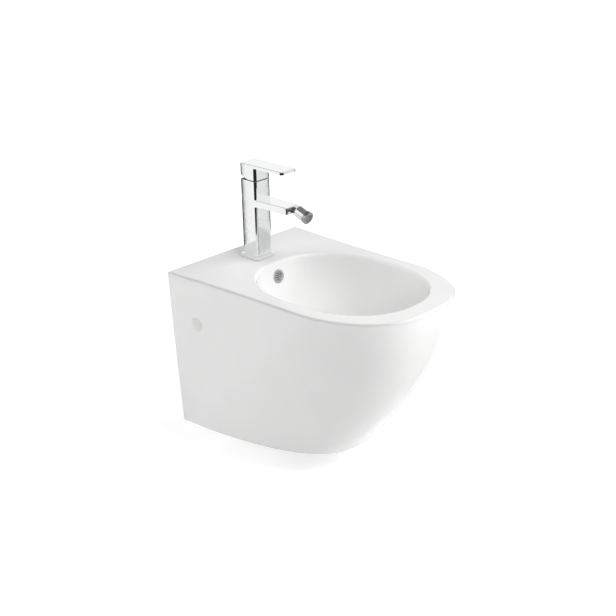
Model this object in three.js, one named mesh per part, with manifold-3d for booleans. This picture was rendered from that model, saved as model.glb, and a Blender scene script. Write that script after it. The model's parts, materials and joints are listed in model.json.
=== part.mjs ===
// Wall hung bidet with a single lever tap, a plug waste and a bottle trap, in millimetres.
// +X is to the right seen from the front, +Y points into the wall and +Z is up.
// The origin lies on the wall plane, midway between the two wall studs.
import * as THREE from 'three';
import { mergeVertices } from 'three/addons/utils/BufferGeometryUtils.js';
import Module from 'manifold-3d';

const wasm = await Module();
wasm.setup();

// Clearances shared by all pieces
const SEAT_GAP = 0.3;
const CUT_OVERRUN = 6;
const SLOPE_PROBE = 1;

// Facets of round pieces
const FINE_FACETS = 24;
const ROUND_FACETS = 16;
const SMALL_FACETS = 12;
const TINY_FACETS = 8;
const CORNER_SEGMENTS = 2;

// Ceramic body, outside. Its rim is level, and its foot is narrower and much shorter.
const BODY_WIDTH = 360;
const BODY_DEPTH = 510;
const BODY_HEIGHT = 335;
const STUD_DROP = 96;
const RIM_TURN_WIDTH = 334;
const RIM_TURN_DEPTH = 343;
const FOOT_WALL_WIDTH = 327;
const FOOT_TURN_WIDTH = 323;
const FOOT_TURN_DEPTH = 10;
const FOOT_DEPTH = 339;
const RIM_EDGE_ROUND = 4;
const FOOT_EDGE_ROUND = 8;
const RIM_NOSE_POWER = 3.02;
const FOOT_NOSE_POWER = 2.83;
const NOSE_DEPTH_POWER = 1.6;
const FLARE_POWER = 1.27;
const PROW_POWER = 1.78;
const SIDE_STEPS = 4;
const NOSE_STEPS = 12;
const SHELL_LEVELS = 8;
const HOLLOW_LEVELS = 5;
const FOOT_TURN_SHARES = [0, 0.4, 1];
const RIM_TURN_SHARES = [0, 0.5, 1];

// Ceramic body, inside
const SHELL_WALL = 12;
const REAR_WALL = 14;
const FLOOR_THICKNESS = 12;
const DECK_THICKNESS = 16;
const RIM_SOLID = 35;
const DECK_HOLLOW_DEPTH = 150;
const DECK_HOLLOW_SIDE = 30;

// Bowl
const DECK_DEPTH = 121;
const RIM_SIDE = 33;
const RIM_FRONT = 43;
const BOWL_EDGE_ROUND = 6;
const BOWL_DEPTH = 140;
const BOWL_WALL = 11;
const BOWL_FLOOR_RADIUS = 34;
const BOWL_PLAN_POWER = 2.3;
const ROUND_POWER = 2;
const BOWL_REACH_POWER = 2.4;
const BOWL_DROP_POWER = 1.6;
const BOWL_LEVELS = 8;
const BOWL_POINTS = 32;
const BOWL_TURN_SHARES = [0, 0.5, 1];
const FULL_TURN_SHARES = [1];

// Openings in the ceramic for service
const SERVICE_WIDTH = 210;
const SERVICE_BACK = 34;
const SERVICE_FRONT = 290;
const SERVICE_CORNER = 40;
const WALL_OPENING_WIDTH = 200;
const WALL_OPENING_TOP = -45;
const WALL_OPENING_BOTTOM = -205;
const WALL_OPENING_CORNER = 30;

// Concealed wall fixing, mirrored left and right
const STUD_SPACING = 180;
const STUD_RADIUS = 6;
const STUD_LENGTH = 36;
const BRACKET_WIDTH = 56;
const BRACKET_PLATE = 5;
const BRACKET_HEIGHT = 52;
const BRACKET_STUD_OFFSET = 4;
const ARM_HEIGHT = 36;
const ARM_LENGTH = 88;
const ARM_NUT_RADIUS = 9;
const ARM_NUT_LENGTH = 12;
const POCKET_CLEARANCE = 5;
const POCKET_CORNER = 8;
const STUD_CLEARANCE = 0.4;
const WASHER_RADIUS = 12;
const WASHER_THICKNESS = 2.5;
const NUT_RADIUS = 11;
const NUT_LENGTH = 10;
const HEX_SIDES = 6;

// Side screw, its bush and its cover cap
const SIDE_SCREW_SETBACK = 68;
const SIDE_SCREW_RADIUS = 4;
const SIDE_SCREW_HEAD_RADIUS = 6.5;
const SIDE_SCREW_HEAD_LENGTH = 5;
const SIDE_SCREW_SINK = 8;
const SIDE_SCREW_END = 4;
const SIDE_BOSS_RADIUS = 19;
const SIDE_BOSS_LENGTH = 10;
const BUSH_RADIUS = 10.5;
const BUSH_WALL = 3.2;
const CAP_RADIUS = 14;
const CAP_EDGE = 1.9;
const CAP_DOME = 0.6;
const CAP_SINK = 0.9;
const CAP_PLUG_RADIUS = 6.2;
const CAP_PLUG_WALL = 1.4;
const CAP_PLUG_LENGTH = 5;

// Tap hole and the tap's foot
const TAP_SETBACK = 68;
const TAP_HOLE_RADIUS = 17.5;
const TAP_GASKET_INSET = 1.5;
const TAP_GASKET_THICKNESS = 1;
const TAP_PLATE_WIDTH = 50;
const TAP_PLATE_LENGTH = 52;
const TAP_PLATE_THICKNESS = 5.5;
const TAP_PLATE_CORNER = 6;
const TAP_PLATE_EDGE = 1;

// Tap body and spout
const TAP_BODY_WIDTH = 41;
const TAP_BODY_LENGTH = 43;
const TAP_BODY_CORNER = 5;
const TAP_BODY_TOP = 161;
const SPIGOT_RADIUS = 15;
const SPIGOT_LENGTH = 6;
const SPOUT_UNDERSIDE = 110;
const SPOUT_THICKNESS = 14;
const SPOUT_REACH = 81;
const SPOUT_TIP_WIDTH = 33;
const SPOUT_TIP_CORNER = 3;
const SPOUT_EDGE = 1.2;
const SPOUT_BORE_RADIUS = 3.2;
const PORT_RADIUS = 5;
const PORT_SPREAD = 7;
const PORT_BACK = 3;
const PORT_DEPTH = 16;
const PASSAGE_RADIUS = 2.8;
const OUTLET_FORWARD = 7;

// Tap fixing under the deck
const FIXING_STUD_RADIUS = 4;
const FIXING_STUD_FORWARD = 8;
const FIXING_STUD_DEPTH = 10;
const FIXING_STUD_HANG = 44;
const HORSESHOE_RADIUS = 24;
const HORSESHOE_SLOT_WIDTH = 27;
const HORSESHOE_SLOT_FRONT = 2.6;
const RUBBER_THICKNESS = 3;
const STEEL_THICKNESS = 2;
const FIXING_NUT_RADIUS = 7.5;
const FIXING_NUT_LENGTH = 10;

// Cartridge, in a bore from the top of the tap body
const CARTRIDGE_BORE_DEPTH = 38;
const CARTRIDGE_BORE_RADIUS = 13.3;
const CARTRIDGE_RADIUS = 12.8;
const CARTRIDGE_WALL = 1.8;
const CARTRIDGE_FLOOR = 2;
const CARTRIDGE_HEIGHT = 28;
const CARTRIDGE_SHOULDER = 6;
const CARTRIDGE_SEAL_THICKNESS = 1.5;
const CARTRIDGE_NUT_LENGTH = 4.6;
const FIXED_DISC_THICKNESS = 3;
const MOVING_DISC_RADIUS = 7;
const MOVING_DISC_THICKNESS = 4;
const DISC_POCKET_DEPTH = 2.2;
const DISC_POCKET_LENGTH = 6.4;
const TURNER_NECK_RADIUS = 8.5;
const TURNER_PROUD = 0.9;
const STEM_PIVOT_DEPTH = 10.1;
const STEM_THICKNESS = 5;
const STEM_HEAD_ROOM = 6;
const STEM_CLEARANCE = 0.35;
const LIFT_ANGLE = 20;

// Handle
const HANDLE_GAP = 2;
const GRIP_HEIGHT = 25;
const LEVER_THICKNESS = 6;
const LEVER_LENGTH = 117;
const LEVER_TIP_CORNER = 6;
const HANDLE_WALL = 3.5;
const HANDLE_HUB_RADIUS = 7;
const HANDLE_HUB_RISE = 3;
const HANDLE_HEEL_CLEARANCE = 1;
const GRUB_BELOW_STEM_TOP = 1.5;
const GRUB_RADIUS = 1.6;
const GRUB_LENGTH = 4;
const GRUB_TOOL_RADIUS = 2.4;
const GRUB_CAP_RADIUS = 3;
const GRUB_CAP_THICKNESS = 1.4;

// Ball joint and spray nozzle. The nozzle is turned about its own axis, from the ball's centre.
const BALL_RADIUS = 8.5;
const BALL_OFFSET = 17;
const NECK_RADIUS = 4.2;
const NECK_FLANGE_RADIUS = 6.5;
const NECK_FLANGE_LENGTH = 3;
const NECK_BORE_RADIUS = 2;
const NECK_THREAD_RADIUS = 5.5;
const NECK_THREAD_LENGTH = 8;
const NOZZLE_TILT = 20;
const NOZZLE_RADIUS = 12;
const NOZZLE_BACK_RADIUS = 10.6;
const NOZZLE_LENGTH = 26;
const NOZZLE_CUP_RADIUS = 10.4;
const NOZZLE_MOUTH_ANGLE = 66;
const NOZZLE_LIP_ANGLE = 84;
const NOZZLE_FRONT_WALL = 1.6;
const SEAT_RING_THICKNESS = 1.2;
const SEAT_RING_START_ANGLE = 118;
const SEAT_RING_END_ANGLE = 150;
const AERATOR_RADIUS = 9.4;
const AERATOR_THICKNESS = 5;
const AERATOR_HOLE_RADIUS = 1.1;
const AERATOR_HOLE_CIRCLE = 5.4;
const AERATOR_HOLES = 8;
const NOZZLE_WASHER_WIDTH = 3;
const NOZZLE_WASHER_THICKNESS = 1.6;
const COLLAR_LENGTH = 7.5;
const COLLAR_OVERLAP = 4.5;
const COLLAR_LIP = 1.4;
const COLLAR_LIP_LENGTH = 1.2;
const COLLAR_PROUD = 0.8;
const SPIGOT_WALL = 1.1;
const BALL_STEPS = 5;
const LIP_STEPS = 2;

// Waste in the bowl's floor, heights from the bowl's floor
const DRAIN_SETBACK = 240;
const FLANGE_RADIUS = 32;
const FLANGE_THICKNESS = 2.8;
const FLANGE_MOUTH_RADIUS = 20;
const FLANGE_CONE_DEPTH = 5;
const FLANGE_SEAL_THICKNESS = 1.6;
const FLANGE_SEAL_WIDTH = 6;
const WASTE_RADIUS = 20.5;
const WASTE_WALL = 3;
const WASTE_LENGTH = 66;
const DRAIN_CLEARANCE = 2;
const DRAIN_BOSS_RADIUS = 38;
const DRAIN_BOSS_DEPTH = 28;
const WASTE_SLOT_TOP = 12;
const WASTE_SLOT_HEIGHT = 10;
const WASTE_SLOT_WIDTH = 13;
const WASTE_BAR_TOP = 31;
const WASTE_BAR_THICKNESS = 6;
const WASTE_BAR_WIDTH = 5;
const CLICK_HUB_WALL = 3;
const LOWER_WASHER_RADIUS = 32;
const LOWER_WASHER_THICKNESS = 4;
const BACKNUT_RADIUS = 30;
const BACKNUT_LENGTH = 12;
const BACKNUT_SIDES = 8;

// Plug and its click sleeve, heights from the bowl's floor
const PLUG_CAP_RADIUS = 26;
const PLUG_CAP_THICKNESS = 4.2;
const PLUG_CAP_CROWN = 1.4;
const PLUG_SEAL_RADIUS = 18.4;
const PLUG_SEAL_WIDTH = 3;
const PLUG_SEAL_THICKNESS = 2;
const PLUG_STEM_RADIUS = 3.2;
const PLUG_STEM_HUB_RADIUS = 15;
const PLUG_STEM_LENGTH = 32;
const SLEEVE_WALL = 2;
const SLEEVE_FLANGE = 2;
const SLEEVE_FLANGE_THICKNESS = 2;
const SLEEVE_TOP = 18;
const SLEEVE_BOTTOM = 48;
const SLEEVE_FLOOR = 2;
const SPRING_WALL = 1.2;

// Bottle trap, heights from the bowl's floor
const TRAP_NUT_RADIUS = 27;
const TRAP_NUT_TOP = 54;
const TRAP_NUT_BOTTOM = 75;
const TRAP_NUT_LIP = 3;
const TRAP_NUT_SIDES = 12;
const TRAP_NECK_RADIUS = 23.6;
const TRAP_NECK_TOP = 61.5;
const TRAP_LEDGE = 72;
const TRAP_SHOULDER = 83;
const TRAP_BODY_RADIUS = 30;
const TRAP_BODY_BOTTOM = 134;
const TRAP_WALL = 3;
const DIP_TUBE_RADIUS = 15;
const DIP_TUBE_WALL = 2;
const DIP_TUBE_BOTTOM = 158;
const DIP_FLANGE_THICKNESS = 2.2;
const CUP_TOP = 121.5;
const CUP_BOTTOM = 176;
const CUP_FLOOR = 4;
const CUP_SEAL_THICKNESS = 3;
const OUTLET_DROP = 100;
const OUTLET_TUBE_RADIUS = 16;
const OUTLET_TUBE_WALL = 2.2;
const OUTLET_TUBE_START = 40;
const OUTLET_BOSS_RADIUS = 20;
const OUTLET_BOSS_END = 52;
const OUTLET_NUT_RADIUS = 24;
const OUTLET_NUT_LENGTH = 19;
const OUTLET_NUT_OVERLAP = 9;
const OUTLET_SEAL_LENGTH = 4;

// Overflow in the bowl's rear wall
const OVERFLOW_DROP = 31;
const OVERFLOW_HOLE_RADIUS = 12;
const OVERFLOW_RING_RADIUS = 14;
const OVERFLOW_RING_THICKNESS = 2.4;
const OVERFLOW_CROWN_SHARES = [0.3, 0.7];
const OVERFLOW_SLEEVE_WALL = 1.2;
const OVERFLOW_SLEEVE_LENGTH = 12;
const OVERFLOW_TUBE_WALL = 1.2;
const OVERFLOW_TUBE_LENGTH = 8;
const GRILLE_THICKNESS = 1.4;
const GRILLE_SINK = 1;
const GRILLE_SLOT = 1.9;
const GRILLE_SLOT_TO_RIM = 0.7;
const GRILLE_SLOTS = 4;
const GRILLE_RIM = 1.2;
const DUCT_WIDTH = 30;
const DUCT_DEPTH = 11;
const DUCT_WALL = 5;
const DUCT_TOP = 12;
const DUCT_STEP_SHARES = [0, 0.35, 0.6, 0.78];

// Finishes
const glaze = new THREE.MeshStandardMaterial({ color: 0xf4f4f2, roughness: 0.12, metalness: 0 });
const chrome = new THREE.MeshStandardMaterial({ color: 0xd8dadc, roughness: 0.08, metalness: 1 });
const zincSteel = new THREE.MeshStandardMaterial({ color: 0xa9adb0, roughness: 0.38, metalness: 1 });
const brass = new THREE.MeshStandardMaterial({ color: 0xc0a060, roughness: 0.35, metalness: 1 });
const rubber = new THREE.MeshStandardMaterial({ color: 0x222222, roughness: 0.8, metalness: 0 });
const whitePlastic = new THREE.MeshStandardMaterial({ color: 0xf1f1ef, roughness: 0.35, metalness: 0 });
const darkPlastic = new THREE.MeshStandardMaterial({ color: 0x2b2c2e, roughness: 0.5, metalness: 0 });
const greyPlastic = new THREE.MeshStandardMaterial({ color: 0x8c8f92, roughness: 0.45, metalness: 0 });
const discCeramic = new THREE.MeshStandardMaterial({ color: 0xe6e2da, roughness: 0.25, metalness: 0 });

// Levels worked out from the sizes above
const RIM_Z = STUD_DROP;
const FOOT_Z = STUD_DROP - BODY_HEIGHT;
const FLOOR_Z = RIM_Z - BOWL_DEPTH;
const WALL_HALF = BODY_WIDTH / 2;
const BORE_TOP = TAP_BODY_TOP + CUT_OVERRUN;
const GRIP_BOTTOM = TAP_BODY_TOP + HANDLE_GAP;
const GRIP_TOP = GRIP_BOTTOM + GRIP_HEIGHT;
const HANDLE_TOP = GRIP_TOP + LEVER_THICKNESS;
const HANDLE_HUB_BOTTOM = GRIP_BOTTOM + HANDLE_HUB_RISE;
const STEM_TOP = GRIP_TOP - STEM_HEAD_ROOM;
const GRUB_HEIGHT = STEM_TOP - GRUB_BELOW_STEM_TOP;
const BODY_FOOT = TAP_GASKET_THICKNESS + TAP_PLATE_THICKNESS + 3 * SEAT_GAP;
const SPOUT_TIP = TAP_BODY_LENGTH / 2 + SPOUT_REACH;
const SPOUT_MIDDLE = SPOUT_UNDERSIDE + SPOUT_THICKNESS / 2;
const CARTRIDGE_SEAT = TAP_BODY_TOP - CARTRIDGE_BORE_DEPTH;
const CARTRIDGE_BOTTOM = CARTRIDGE_SEAT + CARTRIDGE_SEAL_THICKNESS + 2 * SEAT_GAP;
const CARTRIDGE_TOP = CARTRIDGE_BOTTOM + CARTRIDGE_HEIGHT;
const TURNER_TOP = CARTRIDGE_TOP + TURNER_PROUD;
const STEM_PIVOT = CARTRIDGE_TOP - STEM_PIVOT_DEPTH;
const FIXED_DISC_BOTTOM = CARTRIDGE_BOTTOM + CARTRIDGE_FLOOR + SEAT_GAP;
const MOVING_DISC_BOTTOM = FIXED_DISC_BOTTOM + FIXED_DISC_THICKNESS + SEAT_GAP;
const MOVING_DISC_TOP = MOVING_DISC_BOTTOM + MOVING_DISC_THICKNESS;
const SHOULDER_BOTTOM = CARTRIDGE_TOP - CARTRIDGE_SHOULDER;
const CHAMBER_RADIUS = CARTRIDGE_RADIUS - CARTRIDGE_WALL;
const FLANGE_RECESS = FLANGE_THICKNESS + FLANGE_SEAL_THICKNESS + 2 * SEAT_GAP;
const DRAIN_HOLE_RADIUS = WASTE_RADIUS + DRAIN_CLEARANCE;
const SLEEVE_BORE_RADIUS = PLUG_STEM_RADIUS + SEAT_GAP;
const SLEEVE_RADIUS = SLEEVE_BORE_RADIUS + SLEEVE_WALL;
const PLUG_CAP_TOP = SEAT_GAP + PLUG_CAP_THICKNESS;
const PLUG_STEM_BOTTOM = -PLUG_STEM_LENGTH;

const QUARTER_TURN = Math.PI / 2;

const mix = (from, to, share) => from + (to - from) * share;
const radians = (angle) => THREE.MathUtils.degToRad(angle);
const degrees = (angle) => THREE.MathUtils.radToDeg(angle);

// Merges shared corners, drops collapsed faces and turns the surface outwards
function weld(source) {
  const bare = new THREE.BufferGeometry();
  bare.setAttribute('position', source.getAttribute('position').clone());
  if (source.index) {
    bare.setIndex(source.index.clone());
  }
  const merged = mergeVertices(bare);
  const corner = [new THREE.Vector3(), new THREE.Vector3(), new THREE.Vector3()];
  const faces = [];
  let volume = 0;
  for (let i = 0; i < merged.index.count; i += 3) {
    const face = [0, 1, 2].map((k) => merged.index.getX(i + k));
    if (new Set(face).size < 3) {
      continue;
    }
    corner.forEach((point, k) => point.fromBufferAttribute(merged.getAttribute('position'), face[k]));
    volume += corner[0].dot(corner[1].cross(corner[2]));
    faces.push(face);
  }
  if (volume < 0) {
    faces.forEach((face) => face.reverse());
  }
  merged.setIndex(faces.flat());
  return merged;
}

// A closed surface as a solid that can be joined and cut
function solid(geometry) {
  const welded = weld(geometry);
  return new wasm.Manifold(new wasm.Mesh({
    numProp: 3,
    vertProperties: new Float32Array(welded.getAttribute('position').array),
    triVerts: new Uint32Array(welded.index.array),
  }));
}

// A solid back as a surface
function surface(body) {
  const mesh = body.getMesh();
  const geometry = new THREE.BufferGeometry();
  geometry.setAttribute('position', new THREE.BufferAttribute(new Float32Array(mesh.vertProperties), 3));
  geometry.setIndex([...mesh.triVerts]);
  return geometry;
}

function cut(geometry, ...tools) {
  return surface(tools.reduce((rest, tool) => rest.subtract(solid(tool)), solid(geometry)));
}

function join(...pieces) {
  return surface(pieces.slice(1).reduce((whole, piece) => whole.add(solid(piece)), solid(pieces[0])));
}

// An upright cylinder or prism with equal sides between two levels
function rod(radius, low, high, facets) {
  const geometry = new THREE.CylinderGeometry(radius, radius, high - low, facets);
  geometry.rotateX(QUARTER_TURN);
  geometry.translate(0, 0, (low + high) / 2);
  return geometry;
}

// A shape turned about the upright axis from [radius, height] corners
function turned(corners, facets) {
  const profile = corners.map(([radius, height]) => new THREE.Vector2(radius, height));
  const geometry = new THREE.LatheGeometry(profile, facets);
  geometry.rotateX(QUARTER_TURN);
  return geometry;
}

// An upright ring between two levels
function ring(outer, inner, low, high, facets) {
  return turned([[inner, low], [outer, low], [outer, high], [inner, high], [inner, low]], facets);
}

// A box between two corners
function block(x, y, z) {
  const geometry = new THREE.BoxGeometry(x[1] - x[0], y[1] - y[0], z[1] - z[0]);
  geometry.translate((x[0] + x[1]) / 2, (y[0] + y[1]) / 2, (z[0] + z[1]) / 2);
  return geometry;
}

// Adds a quarter of a circle to a plan shape, from the given quarter, anticlockwise from +X
function roundCorner(shape, x, y, radius, quarter) {
  shape.absarc(x, y, radius, quarter * QUARTER_TURN, (quarter + 1) * QUARTER_TURN);
}

// A rectangle with round corners, in plan
function roundedPlan(left, right, back, front, radius) {
  const shape = new THREE.Shape();
  roundCorner(shape, right - radius, back - radius, radius, 0);
  roundCorner(shape, left + radius, back - radius, radius, 1);
  roundCorner(shape, left + radius, front + radius, radius, 2);
  roundCorner(shape, right - radius, front + radius, radius, 3);
  return shape;
}

// A plan shape drawn up between two levels, with an optional chamfer round both ends
function prism(shape, low, high, edge = 0) {
  const geometry = new THREE.ExtrudeGeometry(shape, {
    depth: high - low - 2 * edge,
    curveSegments: CORNER_SEGMENTS,
    bevelEnabled: edge > 0,
    bevelThickness: edge,
    bevelSize: edge,
    bevelOffset: -edge,
    bevelSegments: 1,
  });
  geometry.translate(0, 0, low + edge);
  return geometry;
}

// A polygon of [y, z] corners drawn sideways between two x places
function sidewaysPrism(corners, left, right) {
  const shape = new THREE.Shape(corners.map(([y, z]) => new THREE.Vector2(y, z)));
  const geometry = new THREE.ExtrudeGeometry(shape, { depth: right - left, bevelEnabled: false });
  geometry.rotateX(QUARTER_TURN);
  geometry.rotateZ(QUARTER_TURN);
  geometry.translate(left, 0, 0);
  return geometry;
}

// A closed skin through level rings of points, lowest first, each anticlockwise from above
function loft(rings) {
  const count = rings[0].length;
  const points = rings.flat();
  const faces = [];
  for (let level = 0; level + 1 < rings.length; level += 1) {
    for (let i = 0; i < count; i += 1) {
      const a = level * count + i;
      const b = level * count + ((i + 1) % count);
      faces.push(a, b, b + count, a, b + count, a + count);
    }
  }
  const lastRing = (rings.length - 1) * count;
  const flat = (ring3) => ring3.map((point) => new THREE.Vector2(point.x, point.y));
  const capOf = (ring3) => THREE.ShapeUtils.triangulateShape(flat(ring3), []);
  capOf(rings[0]).forEach(([a, b, c]) => faces.push(c, b, a));
  capOf(rings.at(-1)).forEach(([a, b, c]) => faces.push(lastRing + a, lastRing + b, lastRing + c));
  const geometry = new THREE.BufferGeometry().setFromPoints(points);
  geometry.setIndex(faces);
  return geometry;
}

function mirrored(geometry) {
  const copy = geometry.clone();
  copy.scale(-1, 1, 1);
  return weld(copy);
}

// Half widths and depths of the body's plan at a height share, 0 at the foot and 1 at the rim
function bodyPlan(heightShare) {
  const flareShare = 1 - (1 - heightShare) ** FLARE_POWER;
  const prowShare = 1 - (1 - heightShare) ** PROW_POWER;
  const turnShare = mix(FOOT_TURN_DEPTH / FOOT_DEPTH, RIM_TURN_DEPTH / BODY_DEPTH, flareShare);
  const depth = mix(FOOT_DEPTH, BODY_DEPTH, prowShare);
  return {
    wallHalf: mix(FOOT_WALL_WIDTH / 2, WALL_HALF, flareShare),
    turnHalf: mix(FOOT_TURN_WIDTH / 2, RIM_TURN_WIDTH / 2, flareShare),
    depth,
    turnDepth: turnShare * depth,
    nosePower: mix(FOOT_NOSE_POWER, RIM_NOSE_POWER, flareShare),
  };
}

// Distance of the body's side from the middle plane, at a place between wall and turn
function sideHalf(setback, z) {
  const plan = bodyPlan((z - FOOT_Z) / BODY_HEIGHT);
  const left = 1 - setback / plan.turnDepth;
  return mix(plan.turnHalf, plan.wallHalf, left * left);
}

// Level ring of the body: wall corner, left side, round nose, right side, wall corner
function bodyRing(z, inset) {
  const plan = bodyPlan((z - FOOT_Z) / BODY_HEIGHT);
  const left = [];
  for (let i = 0; i < SIDE_STEPS; i += 1) {
    const share = i / SIDE_STEPS;
    const half = mix(plan.turnHalf, plan.wallHalf, (1 - share) ** 2) - inset;
    left.push(new THREE.Vector3(-half, -plan.turnDepth * share, z));
  }
  for (let i = 0; i < NOSE_STEPS; i += 1) {
    const angle = (1 - (1 - i / NOSE_STEPS) ** 2) * QUARTER_TURN;
    const half = (plan.turnHalf - inset) * Math.cos(angle) ** (2 / plan.nosePower);
    const reach = (plan.depth - inset - plan.turnDepth) * Math.sin(angle) ** (2 / NOSE_DEPTH_POWER);
    left.push(new THREE.Vector3(-half, -plan.turnDepth - reach, z));
  }
  const right = left.map((point) => new THREE.Vector3(-point.x, point.y, z)).reverse();
  return [...left, new THREE.Vector3(0, inset - plan.depth, z), ...right];
}

// Outer skin of the ceramic, with a round foot edge and a round rim edge
function bodySkin() {
  const rings = FOOT_TURN_SHARES.map((turnShare) => {
    const angle = turnShare * QUARTER_TURN;
    const inset = FOOT_EDGE_ROUND * (1 - Math.sin(angle));
    return bodyRing(FOOT_Z + FOOT_EDGE_ROUND * (1 - Math.cos(angle)), inset);
  });
  for (let level = 1; level < SHELL_LEVELS; level += 1) {
    const low = FOOT_Z + FOOT_EDGE_ROUND;
    rings.push(bodyRing(mix(low, RIM_Z - RIM_EDGE_ROUND, level / SHELL_LEVELS), 0));
  }
  for (const turnShare of RIM_TURN_SHARES) {
    const angle = turnShare * QUARTER_TURN;
    const inset = RIM_EDGE_ROUND * (1 - Math.cos(angle));
    rings.push(bodyRing(RIM_Z - RIM_EDGE_ROUND * (1 - Math.sin(angle)), inset));
  }
  return loft(rings);
}

// Hollow between the outer skin and the bowl, behind the rear wall, before the bowl stands in it
function bodyHollow() {
  const rings = [];
  for (let level = 0; level <= HOLLOW_LEVELS; level += 1) {
    rings.push(bodyRing(mix(FOOT_Z + FLOOR_THICKNESS, RIM_Z - RIM_SOLID, level / HOLLOW_LEVELS), SHELL_WALL));
  }
  const wide = [-BODY_WIDTH, BODY_WIDTH];
  const behindWall = block(wide, [-BODY_DEPTH, -REAR_WALL], [FOOT_Z, RIM_Z]);
  const deckHalf = WALL_HALF - DECK_HOLLOW_SIDE;
  const underDeck = block(
    [-deckHalf, deckHalf],
    [-DECK_HOLLOW_DEPTH, -REAR_WALL],
    [RIM_Z - RIM_SOLID - CUT_OVERRUN, RIM_Z - DECK_THICKNESS],
  );
  return solid(loft(rings)).intersect(solid(behindWall)).add(solid(underDeck));
}

const OPENING_HALF_WIDTH = RIM_TURN_WIDTH / 2 - RIM_SIDE;
const OPENING_HALF_LENGTH = (BODY_DEPTH - RIM_FRONT - DECK_DEPTH) / 2;
const OPENING_MIDDLE = DECK_DEPTH + OPENING_HALF_LENGTH;

// Bowl's reach at a turn share, 0 at the rim and 1 at the floor
function bowlPlan(turnShare, offset) {
  const angle = turnShare * QUARTER_TURN;
  const reachShare = Math.cos(angle) ** (2 / BOWL_REACH_POWER);
  const dropShare = Math.sin(angle) ** (2 / BOWL_DROP_POWER);
  return {
    halfWidth: mix(BOWL_FLOOR_RADIUS, OPENING_HALF_WIDTH, reachShare) + offset,
    halfLength: mix(BOWL_FLOOR_RADIUS, OPENING_HALF_LENGTH, reachShare) + offset,
    middle: mix(DRAIN_SETBACK, OPENING_MIDDLE, reachShare),
    power: mix(ROUND_POWER, BOWL_PLAN_POWER, reachShare),
    z: RIM_Z - dropShare * (BOWL_DEPTH + offset),
  };
}

function bowlRing(plan) {
  const points = [];
  for (let i = 0; i < BOWL_POINTS; i += 1) {
    const angle = (i / BOWL_POINTS) * 2 * Math.PI;
    const along = Math.cos(angle);
    const across = Math.sin(angle);
    const x = plan.halfWidth * Math.sign(along) * Math.abs(along) ** (2 / plan.power);
    const y = plan.halfLength * Math.sign(across) * Math.abs(across) ** (2 / plan.power);
    points.push(new THREE.Vector3(x, y - plan.middle, plan.z));
  }
  return points;
}

// The bowl as a solid, grown by an offset, with an optional round edge at the rim
function bowlForm(offset, edge) {
  const rings = [];
  for (let level = BOWL_LEVELS; level > 0; level -= 1) {
    rings.push(bowlRing(bowlPlan(level / BOWL_LEVELS, offset)));
  }
  const top = bowlPlan(0, offset);
  for (const turnShare of edge > 0 ? BOWL_TURN_SHARES : FULL_TURN_SHARES) {
    const angle = turnShare * QUARTER_TURN;
    const grown = edge * (1 - Math.cos(angle));
    const halfWidth = top.halfWidth + grown;
    const halfLength = top.halfLength + grown;
    rings.push(bowlRing({ ...top, halfWidth, halfLength, z: RIM_Z - edge * (1 - Math.sin(angle)) }));
  }
  const mouth = { halfWidth: top.halfWidth + edge, halfLength: top.halfLength + edge };
  rings.push(bowlRing({ ...top, ...mouth, z: RIM_Z + CUT_OVERRUN }));
  return loft(rings);
}

// Setback of the bowl's rear wall on the middle plane, at a drop below the rim
function bowlRear(drop) {
  const angle = Math.asin((drop / BOWL_DEPTH) ** (BOWL_DROP_POWER / 2));
  const plan = bowlPlan(angle / QUARTER_TURN, 0);
  return plan.middle - plan.halfLength;
}

// Band of a given half thickness along a line of [y, z] points, as a polygon
function bandAlong(line, half) {
  const sides = [[], []];
  line.forEach(([y, z], i) => {
    const before = line[Math.max(i - 1, 0)];
    const after = line[Math.min(i + 1, line.length - 1)];
    const run = new THREE.Vector2(after[0] - before[0], after[1] - before[1]).normalize();
    sides[0].push([y - run.y * half, z + run.x * half]);
    sides[1].push([y + run.y * half, z - run.x * half]);
  });
  return [...sides[0], ...sides[1].reverse()];
}

// Overflow duct's middle line, down behind the bowl and forward into the drain hole
function ductLine(lengthen) {
  const standOff = BOWL_WALL + DUCT_DEPTH / 2;
  const line = DUCT_STEP_SHARES.map((share) => {
    const drop = mix(OVERFLOW_DROP, BOWL_DEPTH, share);
    return [standOff - bowlRear(drop), RIM_Z - drop];
  });
  const first = line[0];
  const mouthZ = FLOOR_Z - (FLANGE_RECESS + DRAIN_BOSS_DEPTH) / 2;
  return [[first[0], first[1] + DUCT_TOP + lengthen], ...line, [DRAIN_HOLE_RADIUS - DRAIN_SETBACK, mouthZ]];
}

const overflowSlope = Math.atan2(
  bowlRear(OVERFLOW_DROP + SLOPE_PROBE) - bowlRear(OVERFLOW_DROP - SLOPE_PROBE),
  2 * SLOPE_PROBE,
);
const overflowPlace = new THREE.Vector3(0, -bowlRear(OVERFLOW_DROP), RIM_Z - OVERFLOW_DROP);
const overflowTurn = QUARTER_TURN - overflowSlope;

// Places a piece that was made round its own upright axis on the bowl's rear wall
function atOverflow(geometry) {
  const placed = geometry.clone();
  placed.rotateX(overflowTurn);
  placed.translate(overflowPlace.x, overflowPlace.y, overflowPlace.z);
  return placed;
}

// Where the side screw meets the ceramic's side, and which way that side faces
const sideReach = sideHalf(SIDE_SCREW_SETBACK, 0);
const sideNormal = new THREE.Vector3(
  1,
  (sideHalf(SIDE_SCREW_SETBACK + SLOPE_PROBE, 0) - sideReach) / SLOPE_PROBE,
  (sideReach - sideHalf(SIDE_SCREW_SETBACK, SLOPE_PROBE)) / SLOPE_PROBE,
).normalize();
const sideTurn = new THREE.Quaternion().setFromUnitVectors(new THREE.Vector3(0, 0, 1), sideNormal);

// Places a piece that was made round its own upright axis on the right side of the ceramic
function onSide(geometry) {
  const placed = geometry.clone();
  placed.applyQuaternion(sideTurn);
  placed.translate(sideReach, -SIDE_SCREW_SETBACK, 0);
  return placed;
}

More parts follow.
